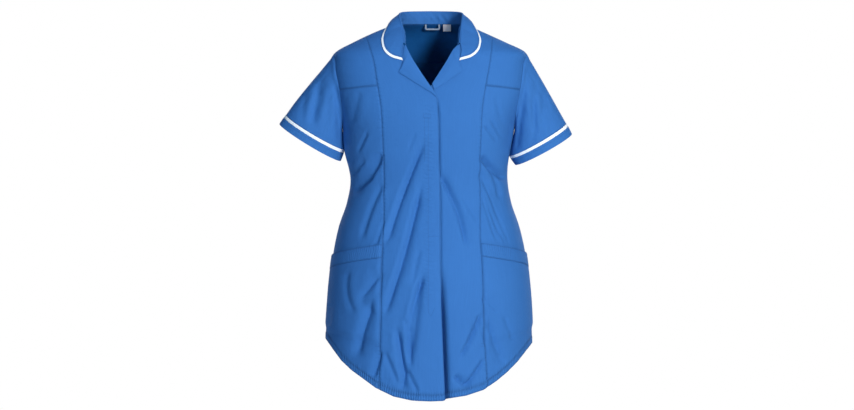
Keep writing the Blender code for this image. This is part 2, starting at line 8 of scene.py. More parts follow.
import bpy
import numpy as np
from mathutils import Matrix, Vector

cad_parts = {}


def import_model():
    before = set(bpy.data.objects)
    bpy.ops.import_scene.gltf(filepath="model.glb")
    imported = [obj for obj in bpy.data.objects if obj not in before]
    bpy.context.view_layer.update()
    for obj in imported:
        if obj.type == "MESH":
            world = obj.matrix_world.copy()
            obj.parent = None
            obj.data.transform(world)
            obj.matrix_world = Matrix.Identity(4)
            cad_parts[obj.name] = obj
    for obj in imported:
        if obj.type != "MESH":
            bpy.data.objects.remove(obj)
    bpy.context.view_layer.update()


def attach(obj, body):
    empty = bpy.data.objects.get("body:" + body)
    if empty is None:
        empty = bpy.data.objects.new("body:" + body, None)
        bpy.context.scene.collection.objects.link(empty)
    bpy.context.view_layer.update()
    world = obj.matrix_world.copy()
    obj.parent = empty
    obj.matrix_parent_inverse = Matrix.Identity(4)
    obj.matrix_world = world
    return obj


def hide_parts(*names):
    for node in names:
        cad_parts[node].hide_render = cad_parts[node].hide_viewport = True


MM = 0.001
CLOTH = 1.3 * MM
FINE_CLOTH = 0.9 * MM
SEAM = 0.3 * MM
SIDE = np.pi / 2

# Body rings. Columns: height, half width on the wearer's right, on the left, depth in front, depth
# behind, roundness of the corners (2 is an ellipse).
RINGS = np.array([
    (33, 73, 75, 40, 62, 2.0),
    (24, 98, 94, 52, 75, 2.0),
    (10, 131, 125, 66, 88, 2.1),
    (-6, 164, 160, 80, 97, 2.2),
    (-24, 197, 197, 94, 104, 2.4),
    (-50, 205, 200, 104, 110, 2.6),
    (-105, 200, 197, 118, 115, 2.6),
    (-150, 189, 184, 128, 113, 2.5),
    (-186, 180, 172, 131, 108, 2.4),
    (-235, 178, 164.5, 128, 99, 2.3),
    (-298, 168, 162, 121, 92, 2.2),
    (-343, 176, 170, 130, 99, 2.2),
    (-390, 192, 186, 146, 112, 2.2),
    (-444, 203.5, 198.5, 160, 125, 2.2),
    (-502, 211, 206, 171, 136, 2.2),
    (-564, 216, 211, 178, 143, 2.2),
    (-626, 220, 213, 181, 147, 2.2),
    (-770, 220, 213, 183, 150, 2.2),
], float)

# Front hem. Columns: share of the half width, height on the wearer's right, height on the left.
FRONT_HEM = np.array([
    (0.00, -757, -757),
    (0.12, -756, -756),
    (0.18, -755, -751),
    (0.35, -747, -745),
    (0.52, -729, -733),
    (0.65, -708, -714),
    (0.75, -692, -696.5),
    (0.85, -671, -675),
    (0.94, -644, -651),
    (1.00, -626, -635),
], float)
BACK_HEM_RISE = 6.0

# Princess seams. Columns: height, distance from the middle on the right and on the left.
PRINCESS = np.array([
    (8, 136, 131),
    (-40, 121, 126),
    (-95, 112, 117),
    (-132, 106, 111),
    (-207, 101, 106),
    (-330, 98, 105),
    (-423, 100, 105),
    (-481, 103, 109),
    (-564, 104, 111),
    (-648, 106, 115),
    (-760, 109, 122),
], float)

# Free edge of each front, in x. Columns: height, right front, left front.
FREE_EDGE = np.array([
    (33, -66, 69),
    (28, -63, 66),
    (-7, -58, 63),
    (-21, -51, 49),
    (-39, -42, 39),
    (-61, -27, 26),
    (-78, -16, 14),
    (-91, -7, 6),
    (-100, -1, -2),
    (-115, 8, -10),
    (-123, 14, -12),
    (-165, 16.5, -12),
    (-347, 20, -12),
    (-460, 20.5, -12),
    (-564, 22.5, -11),
    (-668, 26.5, -9),
    (-760, 30.5, -8),
], float)

# Rolled edge and outer edge of each lapel, seen from the front. Columns: roll x, roll z, outer x, outer z.
LAPEL_RIGHT = np.array([
    (-52, -12, -54.1, -17.5),
    (-49, -19, -55.4, -31),
    (-45.5, -26, -56, -46.3),
    (-41, -35, -66.8, -68.3),
    (-34.5, -46, -55, -76),
    (-25.5, -60, -42, -84),
    (-16.5, -74, -28, -93),
    (-8, -86.5, -14.5, -101.4),
    (0, -98, 1, -110.7),
    (8, -110.5, 12, -120.5),
], float)
LAPEL_LEFT = np.array([
    (57.3, -12, 58.2, -17.5),
    (52.3, -17, 58.6, -30),
    (47.5, -21.5, 58.7, -46),
    (42, -30.5, 66.8, -66.2),
    (35, -43, 57, -73),
    (27, -56, 44.5, -81.5),
    (18, -70, 30.5, -90.7),
    (10, -82.5, 18, -98.5),
    (3.5, -92.5, 8, -105.5),
], float)

# Collar, from the middle of the back to its front end. Columns: fold x, y, z, edge x, y, z, stand
# bottom x, y, z, heading of the fold in degrees from +X towards +Y.
COLLAR = np.array([
    (0, 66, 61.3, 0, 91, 12, 0, 62, 34, 90),
    (24, 63, 61, 37, 86, 14, 22, 59, 34, 68),
    (45, 50, 60.5, 63, 71, 19, 44, 50, 34, 45),
    (60, 30, 59, 80, 42, 26, 62, 32, 34, 18),
    (65, 10, 56, 88, 12, 31, 69, 11, 34, 0),
    (65, -10, 50, 94, -22, 24, 67, -12, 34, -15),
    (62, -28, 39, 100, -45, 10, 60, -26, 30, -28),
    (58.5, -42, 25, 102, -62, -5, 54, -36, 18, -30),
    (56.5, -58, 11, 97.5, -84, -23, 52, -50, 4, -32),
    (55.5, -69, 1, 83, -96, -36, 52, -60, -6, -34),
    (54.8, -76, -6, 58.3, -104, -43, 51, -65, -14, -36),
], float)
LEFT_EDGE_WIDER = 1.035
LEFT_FOLD_WIDER = 1.1
TRIM_WIDTH = 6.5 * MM

# Armhole: an oval in height and depth on the side of the body.
ARMHOLE_TOP = -24 * MM
ARMHOLE_FOOT = -186 * MM
ARMHOLE_FRONT = 52 * MM
ARMHOLE_BACK = 42 * MM
ARMHOLE_STEPS = 12
SHOULDER_ROWS = np.array([33, 25, 16.5, 8, -8]) * MM
YOKE_TOP_ROW = 3
YOKE_START = 0.03
LOWER_ROWS = 18
YOKE_ROW = 6
YOKE_DIP = 8.5 * MM
BACK_YOKE_ROW = 3

# Sleeve rings in millimetres and degrees: middle x and z, half length, half depth, slope from level. The
# sleeve ends at the band ring, and its cuff at the mouth ring.
SLEEVES = {
    "right": {"band": (-241.7, -193.4, 71.3, 50, 30.5), "mouth": (-252.8, -214.8, 74.3, 49, 31.1)},
    "left": {"band": (225.3, -209, 68.5, 50, 29.7), "mouth": (237.5, -229.5, 66.8, 48, 28.7)},
}
SLEEVE_TILT = np.radians(8.5)
SLEEVE_TRIM = 6.3 * MM
TRIM_OUT = 0.8 * MM
CUFF_OUT = 1.2 * MM
CUFF_WALL = 2.2 * MM
CUFF_LENGTH = 24.2 * MM
ARMHOLE_VALLEY = 2.2 * MM
SLEEVE_TURN = np.linspace(0, 2 * np.pi, 132, endpoint=False)
# Largest folds of the sleeves, seen from the front, as on the body.
SLEEVE_FOLDS = np.array([
    (-226, -84, -247, -172, 10, -7),
    (-262, -110, -274, -160, 9, -3),
    (232, -92, 246, -176, 11, -4),
    (258, -110, 272, -165, 9, -3),
], float)

# Pocket band and pocket. Heights at the princess seam and at the side seam.
BAND_TOP = {"right": (-428.5, -453), "left": (-426, -449)}
BAND_HEIGHT = 28.5 * MM
POCKET_FOOT = (-640, -604)
BAND_OUT = 3.3 * MM
POCKET_OUT = 2.8 * MM
FLAT_OUT = 0.35 * MM

# Collar, its fold and the wrinkles of its stand, and the lapels, tucked under its ends.
COLLAR_STATIONS = 151
STAND_WRINKLE = 1.8 * MM
FOLD_RADIUS = 2.2 * MM
FALL_CLEAR = 2.3 * MM
FALL_BULGE = 4 * MM
LAPEL_OUT = 2.3 * MM
LAPEL_BULGE = 2 * MM
GORGE_TUCK = 2.2 * MM

# Hanger loop and blank care label, hung inside the back neck seam. Ends in x, top and foot.
LOOP = (-11.5, 20, 33, 21.5)
LOOP_TAPE = 3.2 * MM
LABEL = (26.5, 43, 33, 18.5)
HUNG_INSIDE = 2.6 * MM

# Largest folds of the fronts, seen from the front. Columns: start x, z, end x, z, half width, depth.
FRONT_FOLDS = np.array([
    (-20, -225, -66, -342, 9, -5),
    (-66, -342, -87, -416, 9, -4),
    (-24, -330, -60, -472, 10, -6),
    (-60, -472, -95, -569, 9, -5),
    (-20, -498, -43, -661, 9, -7),
    (-68, -620, -55, -729, 9, -5),
    (-106, -653, -119, -704, 8, -4),
    (-106, -248, -161, -319, 12, -7),
    (-123, -561, -156, -661, 14, -8),
    (-108, -489, -148, -561, 12, -4),
    (25, -286, 66, -388, 10, -5),
    (66, -388, 79, -422, 10, -3),
    (104, -578, 83, -636, 10, -3),
    (108, -248, 152, -290, 9, -5),
    (106, -281, 138, -332, 10, -4),
    (138, -332, 142, -410, 12, -4),
    (52, -705, 84, -725, 9, -4),
    (120, -600, 150, -680, 14, -5),
], float)
# Largest folds of the back, seen from the front through the cloth.
BACK_FOLDS = np.array([
    (-30, -250, -75, -390, 12, -5),
    (-15, -350, -40, -520, 11, -5),
    (35, -270, 80, -400, 12, -5),
    (20, -400, 48, -600, 12, -6),
    (-95, -520, -120, -690, 13, -7),
    (90, -500, 118, -680, 13, -6),
    (-60, -600, -66, -730, 11, -5),
    (-120, -250, -160, -300, 12, -5),
    (115, -245, 150, -300, 12, -5),
], float)

# Creases of the fronts, seen from the front. Columns: upper x and z, lower x and z, half width, depth,
# how far the middle bows towards +X, and height of the ridge beside it (positive on its +X side).
FINE_FRONT_FOLDS = np.array([
    (-18, -228, -95, -430, 4, -4.2, -5, -1.2),
    (-20, -308, -94, -564, 4.5, -4.6, 3.4, -1.2),
    (-23, -440, -37, -510, 5, -2.2, -1, 0.6),
    (-16, -500, -43, -592, 4.5, -5, -3, -1.5),
    (-43, -586, -41, -682, 5, -5, -3, -1.2),
    (-54, -586, -47, -612, 4, -3.2, 0, 0.6),
    (-71, -606, -54, -702, 5, -4.6, -2, -1.4),
    (-54, -694, -60, -730, 4.5, -3.5, 0, -0.8),
    (-49, -693, -26, -738, 4, -3.6, 0, 0.8),
    (-96, -655, -68, -722, 4.5, -3.2, 0, 1.2),
    (-32, -196, -46, -232, 3.5, -1.2, 0, 0.3),
    (-133, -194, -152, -234, 4, -2.8, 0, 0.8),
    (-104, -240, -131, -294, 4.5, -4.6, 0, 1.2),
    (-128, -286, -162, -314, 6, -3.2, 0, 0.8),
    (-140, -252, -164, -283, 5, -3, 0, 0.8),
    (-102, -302, -145, -414, 6, -4, -3, 1.6),
    (-99, -380, -114, -428, 3.5, -2.4, 0, 0.8),
    (-110, -420, -121, -432, 4, -1.6, 0, 0.6),
    (-171, -486, -160, -572, 6, -3, -8, 1.2),
    (-109, -496, -146, -540, 5, -3.4, 0, 1.4),
    (-122, -546, -158, -655, 6, -4.4, -2, 1.6),
    (-208, -556, -213, -600, 7, -2.4, 0, 0.6),
    (-107, -658, -122, -706, 5, -3.6, 0, 1),
    (-104, -500, -112, -545, 4, -1.6, 0, 0.5),
    (22, -286, 75, -430, 4.5, -5.2, 10, -1.2),
    (66, -328, 102, -388, 3, -2.6, 0, -0.6),
    (107, -576, 62, -666, 4.5, -5.2, 2, -1),
    (112, -670, 73, -726, 4, -5.5, 0, -1.2),
    (73, -724, 52, -704, 4, -4.6, 0, 0.6),
    (107, -246, 157, -293, 5, -6.4, 0, -1.2),
    (121, -262, 148, -334, 5, -4.9, 4, -1),
    (109, -292, 164, -428, 2.6, -2.3, 3, -0.7),
    (106, -326, 138, -418, 2.6, -2.3, 0, -0.7),
    (121, -350, 159, -430, 2.6, -2.2, 0, -0.7),
    (114, -178, 138, -212, 3, -2.6, 0, -0.6),
    (126, -168, 150, -206, 3, -2.2, 0, -0.5),
    (107, -542, 139, -570, 4, -2.6, 0, -0.6),
    (121, -578, 152, -666, 5, -3.8, -4, -0.8),
    (152, -578, 172, -628, 4, -2.6, 0, -0.6),
    (104, -596, 118, -640, 4, -2.3, 0, 0.5),
    (-150, -110, -166, -176, 7, -1.6, 0, 0.6),
    (138, -118, 150, -176, 6, -1.7, 0, -0.4),
], float)
# Creases of the back: the same, with one depth, and with bows and ridges that take turns.
BACK_CREASES = (
    (-60, -120, -90, -230, 7),
    (62, -110, 96, -220, 7),
    (-8, -300, -14, -420, 4.9),
    (8, -480, 2, -640, 5.6),
    (-80, -420, -104, -540, 4.9),
    (70, -420, 90, -560, 4.9),
    (-140, -330, -165, -430, 5.6),
    (138, -330, 166, -440, 5.6),
    (-150, -500, -175, -610, 5.6),
    (150, -510, 178, -620, 5.6),
    (-20, -640, -24, -735, 4.2),
    (44, -640, 50, -735, 4.2),
    (-110, -160, -150, -220, 4.9),
    (108, -160, 150, -225, 4.9),
)
BACK_CREASE_DEPTH = -2.6
BACK_BENDS = ((-3, 0.8), (2, -0.7), (4, 0.8), (-2, -0.7))
FINE_BACK_FOLDS = np.array([(*line, BACK_CREASE_DEPTH, *BACK_BENDS[k % 4])
                            for k, line in enumerate(BACK_CREASES)])

# Seams and sewing: depth and half width of a sunk seam, and the small puckers beside it.
SEAM_DEPTH = 1.3 * MM
SEAM_HALF = 1.7 * MM
PUCKER = 0.35 * MM
PUCKER_REACH = 9 * MM
PUCKER_PITCH = 15 * MM
HEM_DEEP = 14 * MM
HEM_RIDGE = 0.7 * MM
HEM_PUCKER = 0.9 * MM
GRID = 3.2 * MM
BODY_RADIUS = 0.17
HEM_RADIUS = 0.19
# Swelling of the body under the arms, which closes the view between body and sleeve.
UNDER_ARM = dict(out=5.2 * MM, z=-200 * MM, half=42 * MM)
# How far the left front sinks at the right front's edge: under the buttons, and at the hem's pleat.
EDGE_SINK = 3.2 * MM
PLEAT_SINK = 16 * MM
NORMAL_STEP = 0.002
HEM_PITCH = 5.4 * MM
SEAM_PITCH = 8.5 * MM
STITCH = dict(long=2.3 * MM, pitch=3.1 * MM, half=0.28 * MM)
STITCH_OUT = 0.1 * MM

# Sewing of the concealed fastening on the right front, in metres: x of the long line and how far the short
# second line stands from it, their top, the feet of the second and the long line, and the short bar.
PLACKET = dict(x=-4.6 * MM, apart=7.6 * MM, top=-164 * MM, second=-256 * MM, foot=-570 * MM, bar=-412 * MM)

# Smaller creases of the sleeves, as on the fronts.
FINE_SLEEVE_FOLDS = np.array([
    (-232, -92, -250, -180, 8, -3, -3, 1.2),
    (-262, -100, -270, -176, 6, -2, 0, 0.8),
    (-212, -112, -224, -196, 6, -1.2, 2, 0.5),
    (-244, -64, -238, -120, 7, -1.4, 0, 0.6),
    (266, -106, 258, -182, 6, -2, 0, -0.8),
    (214, -112, 224, -200, 5, -2.5, -2, -1),
    (238, -64, 246, -150, 7, -1.8, 2, -0.8),
    (222, -84, 214, -232, 6, -2.6, 0, 0.8),
    (236, -110, 232, -226, 5, -2, 0, 0.6),
    (250, -130, 252, -206, 5, -1.8, 0, 0.6),
    (-198, -90, -187, -236, 7, -6.5, 0, 0),
    (196, -98, 180, -238, 7, -6.5, 0, 0),
], float)

# Short bars of sewing beside the princess seams, where the pocket bags are caught: heights and ends.
TACKS = (-542 * MM, -636 * MM, -642 * MM)
TACK_FROM, TACK_TO = 104 * MM, 117 * MM

# View of the photograph: camera place and lens in mm, then the backdrop and the lamps. Each lamp: name,
# place, width, power and colour.
CAMERA = (-0.00735, -36, -0.3465)
LENS = 722.7
FLOOR = -1.1
BACKDROP = 1.0
AMBIENT = 0.1
SPECULAR = 0.2
# Strength of the painted shade along seams and free edges (the edge marks).
EDGE_SHADE = 0.42
LAMPS = (
    ("key", (1.9, -3.9, 0.7), 0.9, 180, (1, 1, 1)),
    ("fill", (-2.3, -4.0, 0.5), 1.2, 42, (0.5, 0.78, 1)),
    ("top", (0.2, -0.3, 3.4), 1.6, 46, (0.7, 0.86, 1)),
    ("rear left", (1.5, 4.0, 0.7), 1.4, 75, (0.75, 0.88, 1)),
    ("rear right", (-1.5, 4.0, 0.7), 1.4, 50, (0.75, 0.88, 1)),
)
LIT_POINT = (0, 0, -0.4)


def blend(first, second, share):
    return first * (1 - share) + second * share


def unit(vectors):
    return vectors / np.linalg.norm(vectors, axis=-1, keepdims=True)


def cubic(start, leave, end, arrive, t):
    """Curve from start to end with these slopes at its ends, for t from 0 to 1."""
    return ((2 * t**3 - 3 * t**2 + 1) * start + (t**3 - 2 * t**2 + t) * leave
            + (3 * t**2 - 2 * t**3) * end + (t**3 - t**2) * arrive)


def smooth_table(heights, table, column):
    """Cubic curve through one column of a table, in metres over height in metres."""
    order = np.argsort(table[:, 0])
    x = table[order, 0] * MM
    y = table[order, column]
    slope = np.gradient(y, x)
    at = np.clip(heights, x[0], x[-1])
    k = np.clip(np.searchsorted(x, at) - 1, 0, len(x) - 2)
    width = x[k + 1] - x[k]
    return cubic(y[k], width * slope[k], y[k + 1], width * slope[k + 1], (at - x[k]) / width)


def ring(angle, z):
    """Half width, depth and roundness of the body ring at this height, on this side."""
    right, left, front, back = (smooth_table(z, RINGS, column) * MM for column in range(1, 5))
    width = np.where(np.sin(angle) < 0, right, left)
    depth = np.where(np.cos(angle) > 0, front, back)
    return width, depth, smooth_table(z, RINGS, 5)


def ring_radius(angle, z):
    width, depth, power = ring(angle, z)
    across = np.abs(np.sin(angle)) / width
    along = np.abs(np.cos(angle)) / depth
    return (across**power + along**power) ** (-1 / power)


def line_places(x, z, x0, z0, x1, z1):
    """How far along a line each point lies, as a share of its length, and how far to its side."""
    length = np.hypot(x1 - x0, z1 - z0)
    ux, uz = (x1 - x0) / length, (z1 - z0) / length
    return ((x - x0) * ux + (z - z0) * uz) / length, (z - z0) * ux - (x - x0) * uz


def end_fade(along, whole, soft):
    return np.exp(-np.clip(np.abs(along - 0.5) - whole, 0, None) ** 2 / soft)


def fold_depth(x, z, folds):
    """Sum of soft troughs: each a bell across its line, fading at both ends."""
    total = np.zeros(np.broadcast(x, z).shape)
    for *line, half, depth in folds * MM:
        along, across = line_places(x, z, *line)
        total = total + depth * groove(across, half) * end_fade(along, 0.38, 0.02)
    return total


def crease_depth(x, z, creases):
    """Sum of creases: each a narrow bell across a bowed line, with a softer ridge on one side of it,
    both fading at the ends."""
    total = np.zeros(np.broadcast(x, z).shape)
    for *line, half, depth, bow, ridge in creases * MM:
        along, across = line_places(x, z, *line)
        across = across - bow * np.sin(np.pi * np.clip(along, 0, 1))
        beside = groove(across - np.sign(ridge) * 2.1 * half, 1.3 * half)
        trough = depth * groove(across, half)
        total = total + (trough + np.abs(ridge) * beside) * end_fade(along, 0.36, 0.016)
    return total


def lap(x, z, side):
    """How far a front stands out at the overlap: the right over the left, which sinks back at the hem."""
    near = np.exp(-np.clip(np.abs(x) - 20 * MM, 0, None) ** 2 / (26 * MM) ** 2)
    buttoned = np.clip((-z - 60 * MM) / (50 * MM), 0, 1)
    loose = np.clip((-z - 460 * MM) / (290 * MM), 0, 1) ** 1.5
    if side == "right":
        return near * buttoned * (1.1 * MM + 3 * MM * loose)
    return near * buttoned * (-1.3 * MM - 9 * MM * loose)


def along_oval(place, half, other_half, power):
    """The other coordinate of the ring where one coordinate is at this place."""
    share = np.clip(np.abs(place) / half, 0, 1)
    return other_half * (1 - share**power) ** (1 / power)


def angle_at_x(x, z):
    """Angle on the front of the ring where it passes this x."""
    width, depth, power = ring(np.sign(x) * 0.5, z)
    return np.arctan2(x, along_oval(x, width, depth, power))


def angle_at_depth(y, z, sign):
    """Angle on the side of the ring where it passes this y, on the right (-1) or the left (1)."""
    width, depth, power = ring(np.where(y < 0, 0.8, 2.3) * sign, z)
    return np.arctan2(sign * along_oval(y, depth, width, power), -y)


def hem_height(angle):
    """Height of the curved hem, from the share of the half width that this angle reaches."""
    low = RINGS[-1, 0] * MM
    width = ring(angle, low)[0]
    share = np.abs(ring_radius(angle, low) * np.sin(angle)) / width
    right, left = (np.interp(share, FRONT_HEM[:, 0], FRONT_HEM[:, column]) for column in (1, 2))
    turn = np.clip(np.sin(angle) * 8, -1, 1) / 2 + 0.5
    front = np.where(np.sin(angle) < 0, right, left)
    back = blend(right, left, turn) + BACK_HEM_RISE * (1 - share)
    return np.where(np.cos(angle) > 0, front, back) * MM


def ease(low, high, value):
    t = np.clip((value - low) / (high - low), 0, 1)
    return t * t * (3 - 2 * t)


def ripple(along, across):
    """Uneven small waves: three sines of unlike pitch, one of them turned across."""
    return (np.sin(along * 1.0 + 1.7 * np.sin(along * 0.31 + across))
            + 0.6 * np.sin(along * 1.63 + 2.1 + across * 1.3)
            + 0.4 * np.sin(along * 2.9 + 4.0 - across)) / 2


def groove(distance, half=SEAM_HALF):
    return np.exp(-((distance / half) ** 2))


def princess_distance(x, z):
    """Distance of the princess seam from the middle, on the side that x is on."""
    return np.where(x < 0, smooth_table(z, PRINCESS, 1), smooth_table(z, PRINCESS, 2)) * MM


def seam_relief(angle, x, z):
    """Sunk princess and yoke seams with puckers beside them, and the turned hem with its stitch line."""
    front = np.cos(angle) > 0
    off = np.abs(x) - princess_distance(x, z)
    below_shoulder = ease(10 * MM, -10 * MM, z)
    waves = ripple(z / PUCKER_PITCH * 2 * np.pi, x * 60)
    princess = (-SEAM_DEPTH * groove(off) + 0.35 * MM * groove(off + 5 * MM, 4 * MM)
                + PUCKER * waves * np.exp(-np.abs(off) / PUCKER_REACH)) * below_shoulder
    yoke_line = yoke_seam_height(x)
    yoke = -SEAM_DEPTH * 0.9 * groove(z - yoke_line) + 0.4 * MM * groove(z - yoke_line - 4 * MM, 3 * MM)
    yoke = yoke * ease(-1 * MM, 1 * MM, off)
    edge = z - hem_height(angle)
    along = angle * HEM_RADIUS / PUCKER_PITCH * 2 * np.pi
    hem = (HEM_RIDGE * ease(HEM_DEEP + 2 * MM, HEM_DEEP, edge)
           - 0.8 * MM * groove(edge - HEM_DEEP, 1.3 * MM)
           + HEM_PUCKER * ripple(along * 1.15, 0) * np.exp(-np.abs(edge - HEM_DEEP) / (11 * MM)))
    back_seam = -SEAM_DEPTH * groove(z - back_yoke_height())
    waist = 0.08 * MM * ripple(z / (31 * MM) * 2 * np.pi, x * 40)
    under_arm = UNDER_ARM["out"] * groove(z - UNDER_ARM["z"], UNDER_ARM["half"])
    under_arm = under_arm * ease(0.3, 0.1, np.abs(np.cos(angle)))
    return np.where(front, princess + yoke, back_seam) + hem + waist + under_arm


def yoke_seam_height(x):
    heights, _ = armhole_rows(np.array([YOKE_ROW / ARMHOLE_STEPS * np.pi]))
    share = ease(110 * MM, 190 * MM, np.abs(x))
    return heights[0] + YOKE_DIP * (1 - share)


def back_yoke_height():
    return armhole_rows(np.array([BACK_YOKE_ROW / ARMHOLE_STEPS * np.pi]))[0][0]


def edge_groove(x, z):
    """How far the left front sinks beside the free edge of the right front: a little under the buttons,
    and a deep open pleat towards the hem."""
    edge = np.interp(z, FREE_EDGE[::-1, 0] * MM, FREE_EDGE[::-1, 1]) * MM
    open_part = ease(-455 * MM, -600 * MM, z)
    closed = EDGE_SINK * groove(x - edge - 1 * MM, 2.6 * MM) * ease(-110 * MM, -150 * MM, z)
    return closed + PLEAT_SINK * open_part * groove(x - edge - 2.5 * MM, 6.5 * MM)


def body(angle, z, side=None, relief=1.0):
    """Point of the body's outer surface with its folds, creases and seams."""
    angle, z = np.broadcast_arrays(angle, z)
    radius = ring_radius(angle, z)
    x = radius * np.sin(angle)
    front = np.clip(np.cos(angle) * 5, 0, 1)
    back = np.clip(-np.cos(angle) * 5, 0, 1)
    radius = radius + front * fold_depth(x, z, FRONT_FOLDS) + back * fold_depth(x, z, BACK_FOLDS)
    radius = radius + relief * (front * crease_depth(x, z, FINE_FRONT_FOLDS)
                                + back * crease_depth(x, z, FINE_BACK_FOLDS) + seam_relief(angle, x, z))
    if side:
        radius = radius + lap(x, z, side)
    if side == "left":
        radius = radius - relief * edge_groove(x, z)
    return np.stack([radius * np.sin(angle), -radius * np.cos(angle), z], -1)


def body_normal(angle, z, side=None, relief=1.0):
    step = NORMAL_STEP
    around = body(angle + step, z, side, relief) - body(angle - step, z, side, relief)
    down = body(angle, z - step / 4, side, relief) - body(angle, z + step / 4, side, relief)
    normal = unit(np.cross(down, around))
    point = body(angle, z, side, relief)
    outward = (normal[..., 0] * point[..., 0] + normal[..., 1] * point[..., 1]) < 0
    return np.where(outward[..., None], -normal, normal)


def armhole_rows(turn):
    """Height of the armhole at this turn from its top, and how far it bulges."""
    middle = (ARMHOLE_TOP + ARMHOLE_FOOT) / 2
    half = (ARMHOLE_TOP - ARMHOLE_FOOT) / 2
    return middle + half * np.cos(turn), np.abs(np.sin(turn))


def row_height(row, seam_side):
    """Height of a row above the underarm. Rows run down the shoulder slope, then by the armhole."""
    step = np.clip(row - len(SHOULDER_ROWS), 0, ARMHOLE_STEPS)
    beside_hole = armhole_rows(step * np.pi / ARMHOLE_STEPS)[0]
    if seam_side:
        lift = np.exp(-(((step - YOKE_ROW) / 2.0) ** 2)) * ease(0, 1, step) * ease(12, 11, step)
        beside_hole = beside_hole + YOKE_DIP * lift
    slope_rows = np.append(SHOULDER_ROWS, ARMHOLE_TOP)
    slope = np.interp(row, np.arange(len(slope_rows)), slope_rows)
    return np.where(row < len(SHOULDER_ROWS), slope, beside_hole)


FOOT_ROW = len(SHOULDER_ROWS) + ARMHOLE_STEPS
LAST_ROW = FOOT_ROW + LOWER_ROWS


def lower_height(angle, row):
    share = (row - FOOT_ROW) / LOWER_ROWS
    return ARMHOLE_FOOT + share * (hem_height(angle) - ARMHOLE_FOOT)


def line_on_rows(rows, line, seam_side=True):
    """Angle and height where a seam line, a function of height, crosses each row."""
    upper = np.where(rows < FOOT_ROW, row_height(rows, seam_side), ARMHOLE_FOOT)
    z = upper
    angle = line(z, rows)
    for _ in range(6):
        z = np.where(rows < FOOT_ROW, upper, lower_height(angle, rows))
        angle = line(z, rows)
    return angle, z


def princess_line(sign):
    def line(z, rows):
        x = princess_distance(sign, z)
        width = ring(sign * 0.5, z)[0]
        return np.where(x < width, angle_at_x(sign * np.minimum(x, width), z), sign * SIDE)

    return line


def free_line(column):
    def line(z, rows):
        return angle_at_x(np.interp(z, FREE_EDGE[::-1, 0] * MM, FREE_EDGE[::-1, column]) * MM, z)

    return line


def outer_line(sign, reach):
    """Shoulder seam, then armhole, then side seam."""

    def line(z, rows):
        step = np.clip(rows - len(SHOULDER_ROWS), 0, ARMHOLE_STEPS)
        at_hole = (step > 0) & (step < ARMHOLE_STEPS)
        depth = np.where(at_hole, reach * np.abs(np.sin(step * np.pi / ARMHOLE_STEPS)), 0)
        return np.where(at_hole, angle_at_depth(depth, z, sign), sign * SIDE)

    return line


def rows_between(start, stop):
    """Fine rows from one row of the solids to another, all about one grid step apart."""
    height = np.interp([start, stop], [0, len(SHOULDER_ROWS), FOOT_ROW, LAST_ROW], [0, 0.075, 0.26, 0.83])
    return np.linspace(start, stop, int((height[1] - height[0]) / GRID) + 2)


def grid_between(rows, first, second, side=None):
    """Grid of points and normals between two seam lines, with marks: how much each point takes of the
    hem's and the seams' fine puckers, and of the painted shade line at seams, at the hem's sewn line and
    at free edges."""
    a, za = first
    b, zb = second
    columns = int(np.abs(b - a).max() * BODY_RADIUS / GRID) + 3
    u = np.linspace(0, 1, columns)[None, :]
    angle = blend(a[:, None], b[:, None], u)
    z = blend(za[:, None], zb[:, None], u)
    z = np.where(rows[:, None] >= FOOT_ROW, lower_height(angle, rows[:, None]), z)
    points = body(angle, z, side)
    above = np.clip(z - hem_height(angle) - HEM_DEEP, 0, None)
    x = points[..., 0]
    front = np.cos(angle) > 0
    beside_buttons = groove(x - PLACKET["x"], 11 * MM) * front
    beside_buttons = beside_buttons * ease(-110 * MM, -150 * MM, z) * ease(-570 * MM, -520 * MM, z)
    sewn = groove(z - hem_height(angle) - HEM_DEEP, 2.4 * MM)
    # The edge mark is painted shade: a dark line along the panel's seams and free edges, and along the
    # hem's sunk stitch line.
    marks = {
        "hem": np.exp(-above / (4 * MM)),
        "seam": groove(np.abs(x) - princess_distance(x, z), 5 * MM) * front + 1.3 * beside_buttons,
        "edge": np.maximum(border(z.shape), sewn),
    }
    return points, body_normal(angle, z, side), marks


def border(shape, sides=True, ends=True):
    """One on the outermost points of a grid and nought inside: where painted shade darkens a seam or a free
    edge.
    """
    rim = np.zeros(shape)
    if sides:
        rim[:, 0] = rim[:, -1] = 1
    if ends:
        rim[0] = rim[-1] = 1
    return rim


def wall_faces(rows, columns, closed):
    """Quads of a wall: an outer grid, an inner grid after it, and the rim between them."""
    count = rows * columns
    index = np.arange(count).reshape(rows, columns)
    if closed:
        index = np.concatenate([index, index[:, :1]], 1)
    a, b = index[:-1, :-1], index[:-1, 1:]
    c, d = index[1:, 1:], index[1:, :-1]
    outer = np.stack([a, b, c, d], -1).reshape(-1, 4)
    inner = outer[:, ::-1] + count
    rims = [index[0], index[-1][::-1]]
    if not closed:
        rims += [index[::-1, 0], index[:, -1]]
    sides = [np.stack([e[1:], e[:-1], e[:-1] + count, e[1:] + count], -1) for e in rims]
    return np.concatenate([outer, inner] + sides), len(outer)


def cloth_coordinates(points, closed):
    """Distances in the cloth, in metres: across each row from its middle, and down each column."""
    after = points[:, :1] if closed else points[:, -1:]
    across = np.linalg.norm(np.diff(points, axis=1, append=after), axis=-1)
    u = np.concatenate([np.zeros((len(points), 1)), np.cumsum(across, 1)[:, :-1]], 1)
    down = np.linalg.norm(np.diff(points, axis=0, prepend=points[:1]), axis=-1)
    return np.stack([u - u[:, -1:] / 2, -np.cumsum(down, 0)], -1)


def new_mesh_object(name, points, faces):
    mesh = bpy.data.meshes.new(name)
    mesh.from_pydata(points.tolist(), [], faces.tolist())
    mesh.update()
    piece = bpy.data.objects.new(name, mesh)
    bpy.context.scene.collection.objects.link(piece)
    return piece


